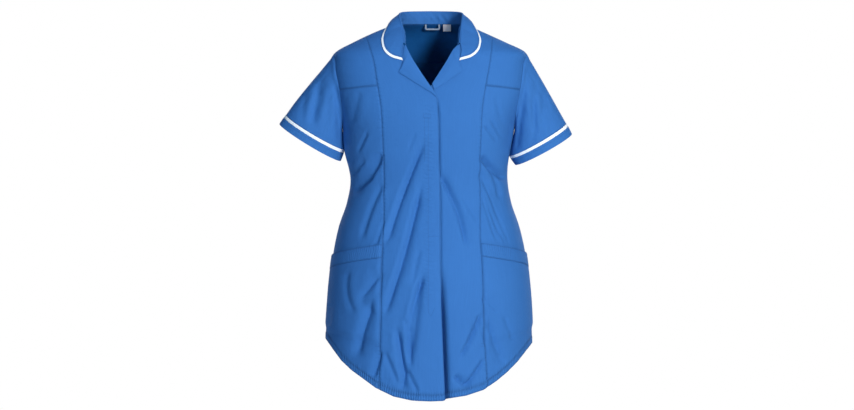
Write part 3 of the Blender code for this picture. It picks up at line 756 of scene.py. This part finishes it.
def make_wall(name, points, normals, material, thickness=CLOTH, closed=False, marks=None, inside=None):
    """Closed shell between a grid and the same grid moved in along its normals, with cloth coordinates,
    marks for its outer face and another look for its inner face. For the body panels that look is painted
    shade: a darker copy of the cloth."""
    rows, columns = points.shape[:2]
    both = np.concatenate([points.reshape(-1, 3), (points - normals * thickness).reshape(-1, 3)])
    faces, outer_count = wall_faces(rows, columns, closed)
    corners = both[faces[:, :3]]
    flipped = np.einsum("ij,ij->i", corners[:, 0], np.cross(corners[:, 1], corners[:, 2])).sum() < 0
    if flipped:
        faces = faces[:, ::-1]
    piece = new_mesh_object(name, both, faces)
    flat = cloth_coordinates(points, closed).reshape(-1, 2)
    layer = piece.data.uv_layers.new(name="cloth")
    layer.data.foreach_set("uv", np.concatenate([flat, flat])[faces].reshape(-1))
    piece.data.shade_smooth()
    piece.data.set_sharp_from_angle(angle=np.radians(35))
    for mark, values in (marks or {}).items():
        attribute = piece.data.attributes.new(mark, "FLOAT", "POINT")
        attribute.data.foreach_set("value", np.concatenate([values.reshape(-1), np.zeros(values.size)]))
    piece.data.materials.append(material)
    # Second material for the inner faces; for the body panels it is painted shade, a darker copy of the
    # cloth.
    if inside:
        piece.data.materials.append(inside)
        index = np.zeros(len(faces), np.int32)
        index[outer_count:2 * outer_count] = 1
        piece.data.polygons.foreach_set("material_index", index)
    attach(piece, "root")
    return piece


def grid_normals(points, closed=False):
    """Normals of a free grid, from the differences between neighbouring points."""
    down = np.gradient(points, axis=0)
    if closed:
        across = np.roll(points, -1, 1) - np.roll(points, 1, 1)
    else:
        across = np.gradient(points, axis=1)
    return unit(np.cross(down, across))


def finish_piece(piece, node, stitches=()):
    """Stands for its solid, which it hides."""
    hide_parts(node)


def points_along(line, pitch, *rows):
    """Points and directions evenly spaced along a polyline, and other rows of its points, read there."""
    length = np.concatenate([[0], np.cumsum(np.linalg.norm(np.diff(line, axis=0), axis=-1))])
    count = max(int(length[-1] / pitch), 1)
    at = (np.arange(count) + 0.5) * length[-1] / count

    def read(values, shift=0.0):
        return np.stack([np.interp(at + shift, length, values[:, k]) for k in range(3)], -1)

    return read(line), unit(read(line, pitch / 2) - read(line, -pitch / 2)), *(read(row) for row in rows)


def make_stitches(name, lines, looks):
    """Thread stitches along lines of (points, normals): each a six-sided bead, thick in its middle."""
    ends = (np.array([-1, -0.6, 0.6, 1]) * STITCH["long"] / 2)[None, :, None, None]
    girth = (np.array([0.3, 1, 1, 0.3]) * STITCH["half"])[None, :, None, None]
    turn = (np.arange(6) * np.pi / 3)[None, None, :, None]
    rings = np.arange(24).reshape(4, 6)
    nxt = np.roll(rings, -1, 1)
    bead = np.stack([rings[:-1], nxt[:-1], nxt[1:], rings[1:]], -1).reshape(-1, 4)
    all_points = []
    for line, normals in lines:
        places, direction, up = points_along(line, STITCH["pitch"], normals)
        side = unit(np.cross(direction, up))
        up = np.cross(side, direction)
        places, direction, side, up = (values[:, None, None] for values in (places, direction, side, up))
        around = side * np.cos(turn) + up * np.sin(turn) * 0.7
        all_points.append((places + direction * ends + around * girth).reshape(-1, 3))
    points = np.concatenate(all_points)
    faces = bead[None] + np.arange(len(points) // 24)[:, None, None] * 24
    piece = new_mesh_object(name, points, faces.reshape(-1, 4))
    piece.data.shade_smooth()
    piece.data.materials.append(looks["thread"])
    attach(piece, "root")
    return piece


def body_line(angle, z, side):
    normal = body_normal(angle, z, side)
    return body(angle, z, side) + normal * STITCH_OUT, normal


def sign_of(side):
    return -1 if side == "right" else 1


def hem_stitch(first, last, side):
    """Line of sewing along the top of the turned hem, between two angles."""
    angle = np.linspace(first, last, 160)
    return body_line(angle, hem_height(angle) + HEM_DEEP, side)


def build_panel(name, rows, inner, outer, side, sewing, looks, node=None):
    """One panel of the body between two seam lines, with its sewing."""
    points, normals, marks = grid_between(rows, inner, outer, side)
    # The inner faces take the 'inside' look: painted shade, a darker copy of the cloth.
    piece = make_wall(f"cloth_{name}", points, normals, looks["cloth"], marks=marks, inside=looks["inside"])
    finish_piece(piece, node or name, stitches=[make_stitches(f"stitching_{name}", sewing, looks)])


def build_front(side, looks):
    """Centre front, with the stitched edge of its fastening on the right front."""
    sign = sign_of(side)
    rows = rows_between(0, LAST_ROW)
    inner = line_on_rows(rows, free_line(1 if side == "right" else 2))
    outer = line_on_rows(rows, princess_line(sign))
    lines = [hem_stitch(inner[0][-1] - sign * 0.006, outer[0][-1] - sign * 0.01, side)]
    if side == "right":
        lines += placket_lines()
    build_panel(f"front_{side}", rows, inner, outer, side, lines, looks)


def placket_lines():
    """Sewing of the concealed fastening: a long line down the right front with a pointed end, a small
    box at its top and one short bar across."""
    x, top, foot = PLACKET["x"], PLACKET["top"], PLACKET["foot"]
    shapes = (
        (np.full(200, x), np.linspace(top, foot, 200)),
        (np.full(60, x - PLACKET["apart"]), np.linspace(top, PLACKET["second"], 60)),
        (x + np.array([0, 5, 9, 13]) * MM, foot + np.array([0, -9, -2, 8]) * MM),
        (x + np.array([-10, 5, 5, -10, -10]) * MM, top + np.array([0, 0, 8, 8, 0]) * MM),
        (np.linspace(x, x + 22 * MM, 12), np.full(12, PLACKET["bar"])),
    )
    return [body_line(angle_at_x(across, z), z, "right") for across, z in shapes]


def side_lines(rows, sign):
    inner = line_on_rows(rows, princess_line(sign))
    outer = line_on_rows(rows, outer_line(sign, -ARMHOLE_FRONT), seam_side=False)
    return inner, outer


def build_yoke(side, looks):
    """Front yoke, from the shoulder seam to the short cross seam, with a line of sewing above that seam."""
    rows = rows_between(YOKE_TOP_ROW + YOKE_START, len(SHOULDER_ROWS) + YOKE_ROW)
    x = sign_of(side) * np.linspace(118, 186, 60) * MM
    line = body_line(angle_at_x(x, np.full(60, -90 * MM)), yoke_seam_height(x) + 2.2 * MM, side)
    seams = side_lines(rows, sign_of(side))
    build_panel(f"yoke_{side}", rows, *seams, side, [line], looks, node=f"front_yoke_{side}")


def build_side_front(side, looks):
    """Side front below the yoke, with its hem's sewing and the short bars that catch the pocket bag."""
    sign = sign_of(side)
    rows = rows_between(len(SHOULDER_ROWS) + YOKE_ROW, LAST_ROW)
    inner, outer = side_lines(rows, sign)
    lines = [hem_stitch(inner[0][-1] + sign * 0.01, sign * (SIDE - 0.01), side)]
    for height in TACKS:
        x, z = sign * np.linspace(TACK_FROM, TACK_TO, 8), np.full(8, height)
        lines.append(body_line(angle_at_x(x, z), z, side))
    build_panel(f"side_front_{side}", rows, inner, outer, side, lines, looks)


def build_back(looks):
    """The back below its yoke seam, and the yoke above it."""
    split = len(SHOULDER_ROWS) + BACK_YOKE_ROW
    angle = np.linspace(SIDE + 0.35, 3 * SIDE - 0.35, 200)
    yoke_line = body_line(angle, np.full(200, back_yoke_height() + 2.4 * MM), None)
    hem_line = hem_stitch(SIDE + 0.01, 3 * SIDE - 0.01, None)
    for name, ends, line in (("back_yoke", (0, split), yoke_line), ("back", (split, LAST_ROW), hem_line)):
        rows = rows_between(*ends)
        left, right = (line_on_rows(rows, outer_line(sign, ARMHOLE_BACK), False) for sign in (1, -1))
        build_panel(name, rows, left, (right[0] + 2 * np.pi, right[1]), None, [line], looks)


def armhole_loop(sign, turn):
    """Rim of the armhole at these turns from its top, down the front and up the back: the points, and
    the direction in the cloth towards the middle of the hole."""
    z, bulge = armhole_rows(turn)
    depth = np.where(turn < np.pi, -ARMHOLE_FRONT, ARMHOLE_BACK) * bulge
    angle = np.where(bulge > 1e-6, angle_at_depth(depth, z, sign), sign * SIDE)
    points, normals = body(angle, z), body_normal(angle, z)
    inward = points.mean(0) - points
    inward = inward - normals * (inward * normals).sum(-1, keepdims=True)
    return points, unit(inward)


def sleeve_ring(side, name, turn, out=0.0):
    """Ring of the sleeve, an oval: its outer corner first, then round by the front, which hangs lower."""
    x, z, half, depth, slope = SLEEVES[side][name]
    sign = sign_of(side)
    slope = np.radians(slope)
    long_way = np.array([sign * np.cos(slope), 0, np.sin(slope)])
    across = np.array([0, -np.cos(SLEEVE_TILT), 0]) + sleeve_axis(side) * np.sin(SLEEVE_TILT)
    middle = np.array([x, 0, z]) * MM
    return (middle + np.cos(turn)[:, None] * long_way * (half * MM + out)
            + np.sin(turn)[:, None] * across * (depth * MM + out))


def sleeve_axis(side):
    ends = [np.array([SLEEVES[side][name][0], 0, SLEEVES[side][name][1]]) for name in ("band", "mouth")]
    return unit(ends[1] - ends[0])


def outward_normals(points):
    normals = grid_normals(points, closed=True)
    middle = points.mean(1, keepdims=True)
    inside = ((points - middle) * normals).sum(-1).mean() < 0
    return -normals if inside else normals


def build_sleeve(side, looks):
    """A cubic blend from the armhole to the band ring, leaving the body along its own cloth and
    reaching the ring along the sleeve's axis, with folds, fine creases and a slightly gathered head."""
    sign = sign_of(side)
    turn = SLEEVE_TURN
    start, inward = armhole_loop(sign, turn)
    start = start - inward * SEAM
    end = sleeve_ring(side, "band", turn)
    axis = sleeve_axis(side)
    end = end - axis * SEAM
    chord = end - start
    reach = np.linalg.norm(chord, axis=-1, keepdims=True)
    leave = chord * 0.7 + (axis * 0.2 + inward * 0.15) * reach
    arrive = chord * 0.6 + axis * reach * 0.35
    s = np.linspace(0, 1, 56)[:, None, None]
    points = cubic(start, leave, end, arrive, s)
    share = s[..., 0]
    middle_only = np.sin(np.pi * share) ** 0.5
    big = fold_depth(points[..., 0], points[..., 2], SLEEVE_FOLDS) * middle_only
    small = crease_depth(points[..., 0], points[..., 2], FINE_SLEEVE_FOLDS) * middle_only
    points[..., 1] += (big + small) * np.clip(points[..., 1] / (50 * MM), -1, 1)
    normals = outward_normals(points)
    around = turn[None, :]
    head = 0.5 * MM * ripple(around * 26, 0) * np.exp(-share / 0.06) * (1 + np.cos(around)) / 2
    low = ease(-70 * MM, -130 * MM, start[:, 2])[None, :]
    seam_roll = 1.2 * MM * groove(share - 0.05, 0.04) * (1 - low) - 0.5 * MM * groove(share, 0.012)
    seam_roll = seam_roll - ARMHOLE_VALLEY * groove(share - 0.08, 0.06) * low * normals[..., 1] ** 4
    drape = 0.5 * MM * ripple(around * 9 + share * 2, share * 3) * np.sin(np.pi * share)
    points = points + normals * (head + seam_roll + drape)[..., None]
    normals = outward_normals(points)
    # The edge mark paints shade along both ends of the sleeve, at the armhole seam and at the band.
    piece = make_wall(f"cloth_sleeve_{side}", points, normals, looks["cloth"], closed=True,
                      marks={"edge": border(points.shape[:2], sides=False)})
    finish_piece(piece, f"sleeve_{side}")


def build_cuff(side, looks):
    """The white band and the turned cuff below it, as two short rings with soft rolled edges."""
    turn = SLEEVE_TURN
    rings = (
        (f"sleeve_trim_{side}", "trim", (0, SLEEVE_TRIM), TRIM_OUT, CLOTH, 5),
        (f"cuff_{side}", "cloth", (SLEEVE_TRIM + SEAM, CUFF_LENGTH), CUFF_OUT, CUFF_WALL, 12),
    )
    for node, look, span, out, wall, rows in rings:
        s = np.linspace(0, 1, rows)
        at = (blend(*span, s) / CUFF_LENGTH)[:, None, None]
        points = blend(sleeve_ring(side, "band", turn, out), sleeve_ring(side, "mouth", turn, out), at)
        normals = outward_normals(points)
        crown = 0.5 * MM * (np.sin(np.pi * np.clip(s, 0.02, 0.98)) ** 0.4 - 1)[:, None]
        wave = 0.3 * MM * ripple(turn * 17, 0)[None, :]
        points = points + normals * (crown + wave)[..., None]
        piece = make_wall(f"cloth_{node}", points, outward_normals(points), looks[look], wall, closed=True,
                          inside=looks["cloth"])
        sewing = []
        if look == "cloth":
            row, up = (np.concatenate([values[3], values[3][:1]]) for values in (points, normals))
            sewing = [make_stitches(f"stitching_{node}", [(row + up * STITCH_OUT, up)], looks)]
        finish_piece(piece, node, sewing)


def stand_off(points, least):
    """Points near or inside the body moved out along its normal until they stand this far off it."""
    angle = np.arctan2(points[..., 0], -points[..., 1])
    z = points[..., 2]
    normal = body_normal(angle, z, relief=0)
    gap = ((points - body(angle, z, relief=0)) * normal).sum(-1, keepdims=True)
    on_body = np.clip((RINGS[0, 0] * MM - z) / (4 * MM), 0, 1)[..., None]
    return points + normal * np.clip(least - gap, 0, None) * on_body


def collar_stations():
    """Fold, edge and stand-bottom lines of the collar with the heading of its fold, from the right front
    end round the back to the left front end."""
    place = np.abs(np.linspace(-1, 1, COLLAR_STATIONS)) * (len(COLLAR) - 1)
    table = np.concatenate([np.arange(len(COLLAR))[:, None] / MM, COLLAR], 1)
    values = np.stack([smooth_table(place, table, k) for k in range(1, 11)], -1)
    sign = np.where(np.arange(COLLAR_STATIONS) < COLLAR_STATIONS // 2, -1.0, 1.0)
    fold, edge, foot = (values[:, k:k + 3] * MM for k in (0, 3, 6))
    front = np.clip((50 * MM - fold[:, 2]) / (25 * MM), 0, 1)
    wider = LEFT_EDGE_WIDER + (LEFT_FOLD_WIDER - LEFT_EDGE_WIDER) * front
    edge_wider = 1 + (LEFT_EDGE_WIDER - 1) * np.clip((35 * MM - edge[:, 2]) / (25 * MM), 0, 1)
    for line, widening in ((fold, wider), (edge, edge_wider), (foot, wider)):
        line[:, 0] *= sign * np.where(sign > 0, widening, 1)
    heading = np.radians(values[:, 9])
    out = np.stack([np.sign(sign) * np.cos(heading), np.sin(heading), np.zeros(len(sign))], -1)
    return fold, edge, foot, out


def collar_fall(share):
    """Points of the collar's fall at these shares of the way from the fold to the outer edge."""
    fold, edge, _, out = collar_stations()
    top = fold + out * FOLD_RADIUS - np.array([0, 0, FOLD_RADIUS])
    share = share[:, :, None]
    points = blend(top, edge, share) + out * FALL_BULGE * np.sin(np.pi * share)
    return stand_off(points, FALL_CLEAR + 1.2 * MM * np.sin(np.pi * share))


def build_collar(looks):
    """The stand, folded over at the top in a half round into the fall, and the contrast edge beyond it."""
    fold, edge, foot, out = collar_stations()
    down = np.array([0, 0, FOLD_RADIUS])
    inner = fold - out * FOLD_RADIUS - down
    length = np.linalg.norm(edge - fold, axis=-1)
    last = 1 - TRIM_WIDTH / length
    v = np.linspace(0, 1, 9)[:, None, None]
    stand = blend(foot, inner, v) - out * MM * np.sin(np.pi * v)
    wrinkles = ripple(np.linspace(0, 130, COLLAR_STATIONS)[None, :, None] + 2.5 * v, 4 * v)
    stand = stand - out * STAND_WRINKLE * wrinkles * np.sin(np.pi * v)
    t = (np.arange(1, 6) * np.pi / 6)[:, None, None]
    over = fold - down + FOLD_RADIUS * (np.sin(t) * np.array([0, 0, 1]) - np.cos(t) * out)
    fall = collar_fall(np.outer(np.linspace(0, 1, 16), last - 2 * SEAM / length))
    trim = collar_fall(np.linspace(0, 1, 5)[:, None] * (1 - last) + last)
    points = np.concatenate([stand, over, fall, trim])
    normals = grid_normals(points)
    if (normals[-1] * out).sum() < 0:
        normals = -normals
    split = len(points) - len(trim)
    along = np.linspace(0, 1, COLLAR_STATIONS)[None, :]
    down_rows = np.concatenate([np.zeros(len(stand) + len(over)), np.linspace(0, 1, len(fall) + len(trim))])
    soft = 0.35 * MM * ripple(along * 60 + down_rows[:, None] * 3, down_rows[:, None] * 2)
    sink = -0.5 * MM * np.exp(-((np.arange(len(points)) - split + 0.5) / 1.2) ** 2)[:, None]
    points = points + normals * (soft * np.sin(np.pi * down_rows)[:, None] + sink)[..., None]
    normals[split - 1] = normals[split]
    fall_edge = make_wall("cloth_collar", points[:split], normals[:split], looks["cloth"])
    edge_trim = make_wall("cloth_collar_trim", points[split:], normals[split:], looks["trim"])
    seam_line = points[split - 2] + normals[split - 2] * 0.15 * MM
    sewing = make_stitches("stitching_collar", [(seam_line, normals[split - 2])], looks)
    finish_piece(fall_edge, "collar", stitches=[sewing])
    finish_piece(edge_trim, "collar_trim")


def build_lapel(side, table, looks):
    """A front turned back along its roll: points over the front, moved out, rising softly at the roll and
    tucked under the end of the collar."""
    rows = np.linspace(0, len(table) - 1, 90)
    keys = np.arange(len(table))
    roll_x, roll_z, outer_x, outer_z = (np.interp(rows, keys, table[:, k]) * MM for k in range(4))
    tucked = ease(2.6, 1.8, rows)
    outer_x = outer_x + sign_of(side) * GORGE_TUCK * tucked
    u = np.linspace(0, 1, 22)[None, :]
    x, z = blend(roll_x[:, None], outer_x[:, None], u), blend(roll_z[:, None], outer_z[:, None], u)
    angle = angle_at_x(x, z)
    normal = body_normal(angle, z, side, relief=0)
    width = np.hypot(outer_x - roll_x, outer_z - roll_z)
    bulge = LAPEL_BULGE * np.clip(width / (30 * MM), 0, 1)[:, None]
    soft = 0.3 * MM * ripple(z * 90, x * 50) * np.sin(np.pi * u)
    out = (LAPEL_OUT + bulge * np.sin(np.pi * u) + soft - GORGE_TUCK / 2 * tucked[:, None] * u)[..., None]
    points = body(angle, z, side, relief=0) + normal * out
    piece = make_wall(f"cloth_lapel_{side}", points, normal, looks["cloth"])
    finish_piece(piece, f"lapel_{side}")


def on_side_front(side, top, foot, rows, out, flat_foot=False):
    """Grid on the side front between two slanting lines, each given at the princess and side seams. It
    sinks to the cloth beneath at the princess seam, and at its foot where that is sewn flat."""
    sign = sign_of(side)
    u = np.linspace(0, 1, 44)[None, :]
    v = np.linspace(0, 1, rows + 1)[:, None]
    z = blend(blend(*top, u), blend(*foot, u), v) * MM
    seam = princess_line(sign)(z[:, 0], None)
    angle = blend(seam[:, None], sign * SIDE, u)
    normal = body_normal(angle, z)
    raised = ease(0, 0.05, u) * np.where(flat_foot, ease(1, 0.9, v), 1)
    out = FLAT_OUT + (out - FLAT_OUT) * raised
    return body(angle, z) + normal * out[..., None], normal, out


def build_pocket(side, looks):
    """Patch pocket and the stitched band across its top."""
    top = BAND_TOP[side]
    foot = tuple(height - BAND_HEIGHT / MM for height in top)
    below = tuple(height - SEAM / MM for height in foot)
    points, normals, out = on_side_front(side, top, foot, 12, BAND_OUT)
    v = np.linspace(0, 1, len(points))[:, None] * np.ones(points.shape[1])
    points = points + normals * (0.5 * MM * (np.sin(np.pi * np.clip(v, 0.03, 0.97)) ** 0.3 - 1))[..., None]
    wall = np.minimum(1.6 * MM, out * 0.7)[..., None]
    # The edge mark paints shade along the band's border.
    marks = {"hem": 0.6 + 0 * v, "edge": border(v.shape)}
    band = make_wall(f"cloth_pocket_band_{side}", points, normals, looks["cloth"], wall, marks=marks)
    lines = [(points[row] + normals[row] * STITCH_OUT, normals[row]) for row in (1, len(points) - 2)]
    sewing = make_stitches(f"stitching_pocket_{side}", lines, looks)
    finish_piece(band, f"pocket_band_{side}", stitches=[sewing])
    points, normals, out = on_side_front(side, below, POCKET_FOOT, 56, POCKET_OUT, flat_foot=True)
    wall = np.minimum(1.2 * MM, out * 0.7)[..., None]
    # The edge mark paints shade along the pocket's sides, at the princess and side seams.
    marks = {"edge": border(out.shape, ends=False)}
    pocket = make_wall(f"cloth_pocket_{side}", points, normals, looks["cloth"], wall, marks=marks)
    finish_piece(pocket, f"pocket_{side}")


def neck_inside(x):
    """Depth of a flat piece hung inside the back neck seam at this x."""
    width, depth, _ = ring(np.sign(x) * 2.6, RINGS[0, 0] * MM)
    return depth * np.sqrt(1 - (x / width) ** 2) - HUNG_INSIDE


def build_hung_pieces(looks):
    """The tape hanger, bent to a shallow U, and the blank label beside it."""
    left, right, top, foot = np.array(LOOP) * MM
    bend = 4 * MM
    turn = np.linspace(0, np.pi / 2, 7)
    inward = np.concatenate([[0, 0], bend - bend * np.cos(turn)])
    down = np.concatenate([[top, top - 2 * MM], foot + bend - bend * np.sin(turn)])
    x = np.concatenate([left + inward, right - inward[::-1]])
    z = np.concatenate([down, down[::-1]])
    middle = np.array([(left + right) / 2, 0, (top + foot) / 2 + 2 * MM])
    outer = np.stack([x, neck_inside(x), z], -1)
    along = np.gradient(outer, axis=0)
    across = unit(np.stack([-along[:, 2], np.zeros(len(x)), along[:, 0]], -1))
    across = across * np.sign(((middle - outer) * across).sum(-1, keepdims=True))
    tape = np.stack([outer + across * LOOP_TAPE * v for v in np.linspace(0, 1, 4)])
    left, right, top, foot = np.array(LABEL) * MM
    x, z = np.meshgrid(np.linspace(left, right, 14), np.linspace(top, foot, 12))
    bow = 0.7 * MM * np.sin(np.pi * (x - left) / (right - left)) * (top - z) / (top - foot)
    label = np.stack([x, neck_inside(x) - bow, z], -1)
    for name, node, look, points in (("hanger_loop", "hanger_loop", "tape", tape),
                                     ("label", "care_label", "label", label)):
        facing = np.broadcast_to([0.0, -1.0, 0.0], points.shape)
        finish_piece(make_wall(f"cloth_{name}", points, facing, looks[look], FINE_CLOTH), node)


class Shader:
    """Nodes of one material, wired by name, ending in a Principled BSDF."""

    def __init__(self, name):
        self.material = bpy.data.materials.new(name)
        self.material.use_nodes = True
        self.tree = self.material.node_tree
        self.surface = self.tree.nodes["Principled BSDF"]

    def feed(self, sockets, values):
        """Links each socket to its value, or sets it to a constant."""
        for socket, value in zip(sockets, values):
            if isinstance(value, bpy.types.NodeSocket):
                self.tree.links.new(value, socket)
            else:
                socket.default_value = value

    def add(self, kind, **inputs):
        node = self.tree.nodes.new("ShaderNode" + kind)
        self.feed([node.inputs[key] for key in inputs], inputs.values())
        return node

    def math(self, operation, a, b=0.0):
        node = self.add("Math")
        node.operation = operation
        self.feed(node.inputs, (a, b))
        return node.outputs["Value"]

    def total(self, *terms):
        """Sum of values, each times its weight."""
        parts = [self.math("MULTIPLY", value, weight) for value, weight in terms]
        whole = parts[0]
        for part in parts[1:]:
            whole = self.math("ADD", whole, part)
        return whole

    def mix(self, factor, first, second):
        node = self.add("Mix")
        node.data_type = "RGBA"
        self.feed((node.inputs[0], node.inputs[6], node.inputs[7]), (factor, first, second))
        return node.outputs[2]

    def noise(self, place, scale, **more):
        return self.add("TexNoise", Vector=place, Scale=scale, **more).outputs["Fac"]

    def space(self):
        return self.add("TexCoord").outputs["Object"]

    def mark(self, name):
        attribute = self.add("Attribute")
        attribute.attribute_name = name
        return attribute.outputs["Fac"]

    def finish(self, color, roughness, height, strength, distance):
        bump = self.add("Bump", Height=height, Strength=strength, Distance=distance)
        values = {"Normal": bump.outputs["Normal"], "Base Color": color, "Roughness": roughness,
                  "Specular IOR Level": SPECULAR}
        self.feed([self.surface.inputs[name] for name in values], values.values())
        return self.material


def woven_look(name, light, dark, pitch, crumpled=0.0):
    """Plain weave: warp and weft ribs as two sine waves on the cloth coordinates, a fine uneven thread
    tone, a slow change of tone over the cloth, streaks along the warp, small crumples, short waves where
    the hem and seam marks ask for them, and painted shade, a darker line, at the edge marks."""
    look = Shader(name)
    uv = look.add("UVMap")
    uv.uv_map = "cloth"
    cloth, space = uv.outputs["UV"], look.space()
    split = look.add("SeparateXYZ", Vector=cloth).outputs
    turns = 2 * np.pi / pitch
    warp, weft = (look.math("SINE", look.math("MULTIPLY", split[axis], turns)) for axis in "XY")
    weave = look.math("MULTIPLY", warp, weft)
    threads = look.noise(cloth, 900.0, Detail=2.0)
    slow = look.noise(space, 9.0, Detail=3.0)
    stretched = look.add("Mapping", Vector=cloth, Scale=(420, 16, 1)).outputs["Vector"]
    streaks = look.noise(stretched, 1.0, Detail=2.0)
    tone = look.total((look.total((threads, 0.35), (slow, 0.65)), 0.6), (streaks, 0.4))
    # Painted shade: along the edge marks the colour darkens towards a darker copy of the cloth, at seams,
    # free edges and the hem's stitch line.
    edge_shade_color = (*(0.3 * part for part in dark[:3]), 1)
    edge = look.math("MULTIPLY", look.mark("edge"), EDGE_SHADE)
    color = look.mix(edge, look.mix(tone, dark, light), edge_shade_color)
    crumple = look.noise(space, 34.0, Detail=3.0, Distortion=0.8)
    terms = [(weave, 0.15), (threads, 0.25), (crumple, crumpled), (streaks, 0.15 * crumpled)]
    jitter = look.math("MULTIPLY", look.noise(space, 60.0), 9)
    for mark, axis, wave_pitch, deep in (("hem", "X", HEM_PITCH, 1.2), ("seam", "Y", SEAM_PITCH, 0.7)):
        phase = look.math("ADD", look.math("MULTIPLY", split[axis], 2 * np.pi / wave_pitch), jitter)
        terms.append((look.math("MULTIPLY", look.math("SINE", phase), look.mark(mark)), deep))
    return look.finish(color, 0.8, look.total(*terms), 1.0, 0.4 * MM)


def make_looks():
    """Looks by name, each from its name, lighter and darker thread colour, pitch and crumples."""
    kinds = {
        "cloth": ("blue poplin", (0.038, 0.168, 0.476, 1), (0.025, 0.121, 0.365, 1), 0.9 * MM, 3.0),
        # Painted shade: a darker, bluer copy of the cloth for the inner faces of the body panels, standing
        # in for the shade inside the tunic.
        "inside": ("blue poplin in shade", (0.0015, 0.09, 0.3, 1), (0.0015, 0.07, 0.25, 1), 0.9 * MM, 3.0),
        "trim": ("white trim", (0.93, 0.94, 0.97, 1), (0.85, 0.87, 0.92, 1), 0.8 * MM),
        "tape": ("grey tape", (0.3, 0.36, 0.45, 1), (0.22, 0.27, 0.36, 1), 0.7 * MM),
        "label": ("pale label", (0.68, 0.62, 0.66, 1), (0.6, 0.54, 0.58, 1), 0.5 * MM),
    }
    return {kind: woven_look(*values) for kind, values in kinds.items()} | {"thread": thread_look()}


def thread_look():
    """Sewing thread: fine twisted ribs across a slightly darker blue."""
    look = Shader("blue thread")
    noise = look.noise(look.space(), 1500.0, Detail=2.0)
    color = look.mix(noise, (0.012, 0.06, 0.2, 1), (0.02, 0.09, 0.28, 1))
    return look.finish(color, 0.6, noise, 0.3, 0.2 * MM)


def add_area(name, place, size, power, color):
    """Square lamp turned to the point that they all light."""
    data = bpy.data.lights.new(name, "AREA")
    data.size, data.energy, data.color = size, power, color
    lamp = bpy.data.objects.new(name, data)
    lamp.location = place
    lamp.rotation_euler = (Vector(LIT_POINT) - Vector(place)).to_track_quat("-Z", "Y").to_euler()
    bpy.context.scene.collection.objects.link(lamp)


def set_world():
    """White behind the object for the camera, and a dim bluish light from all round."""
    world = bpy.data.worlds.new("studio")
    bpy.context.scene.world = world
    world.use_nodes = True
    tree = world.node_tree
    tree.nodes.clear()
    mix = tree.nodes.new("ShaderNodeMixShader")
    path = tree.nodes.new("ShaderNodeLightPath")
    tree.links.new(path.outputs["Is Camera Ray"], mix.inputs["Fac"])
    for slot, color, strength in ((1, (0.6, 0.8, 1, 1), AMBIENT), (2, (1, 1, 1, 1), BACKDROP)):
        node = tree.nodes.new("ShaderNodeBackground")
        node.inputs["Color"].default_value = color
        node.inputs["Strength"].default_value = strength
        tree.links.new(node.outputs["Background"], mix.inputs[slot])
    out = tree.nodes.new("ShaderNodeOutputWorld")
    tree.links.new(mix.outputs["Shader"], out.inputs["Surface"])


def set_camera():
    data = bpy.data.cameras.new("camera")
    data.sensor_width = 36
    data.lens = LENS
    data.clip_end = 100
    camera = bpy.data.objects.new("camera", data)
    camera.location = CAMERA
    camera.rotation_euler = (np.pi / 2, 0, 0)
    bpy.context.scene.collection.objects.link(camera)
    bpy.context.scene.camera = camera


def add_floor():
    """Pale ground below the frame, which only sends light up into the hem."""
    points = np.array([(-3, -3, FLOOR), (3, -3, FLOOR), (3, 3, FLOOR), (-3, 3, FLOOR)], float)
    floor = new_mesh_object("floor", points, np.array([[0, 1, 2, 3]]))
    look = Shader("floor")
    noise = look.noise(look.space(), 6.0)
    color = look.mix(noise, (0.78, 0.78, 0.78, 1), (0.82, 0.82, 0.82, 1))
    floor.data.materials.append(look.finish(color, 0.9, noise, 0.05, 0.001))


def main():
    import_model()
    looks = make_looks()
    for side, lapel in (("right", LAPEL_RIGHT), ("left", LAPEL_LEFT)):
        build_front(side, looks)
        build_yoke(side, looks)
        build_side_front(side, looks)
        build_lapel(side, lapel, looks)
        build_sleeve(side, looks)
        build_cuff(side, looks)
        build_pocket(side, looks)
    build_back(looks)
    build_collar(looks)
    build_hung_pieces(looks)
    add_floor()
    set_world()
    set_camera()
    for lamp in LAMPS:
        add_area(*lamp)
    bpy.context.scene.view_settings.view_transform = "Standard"


main()
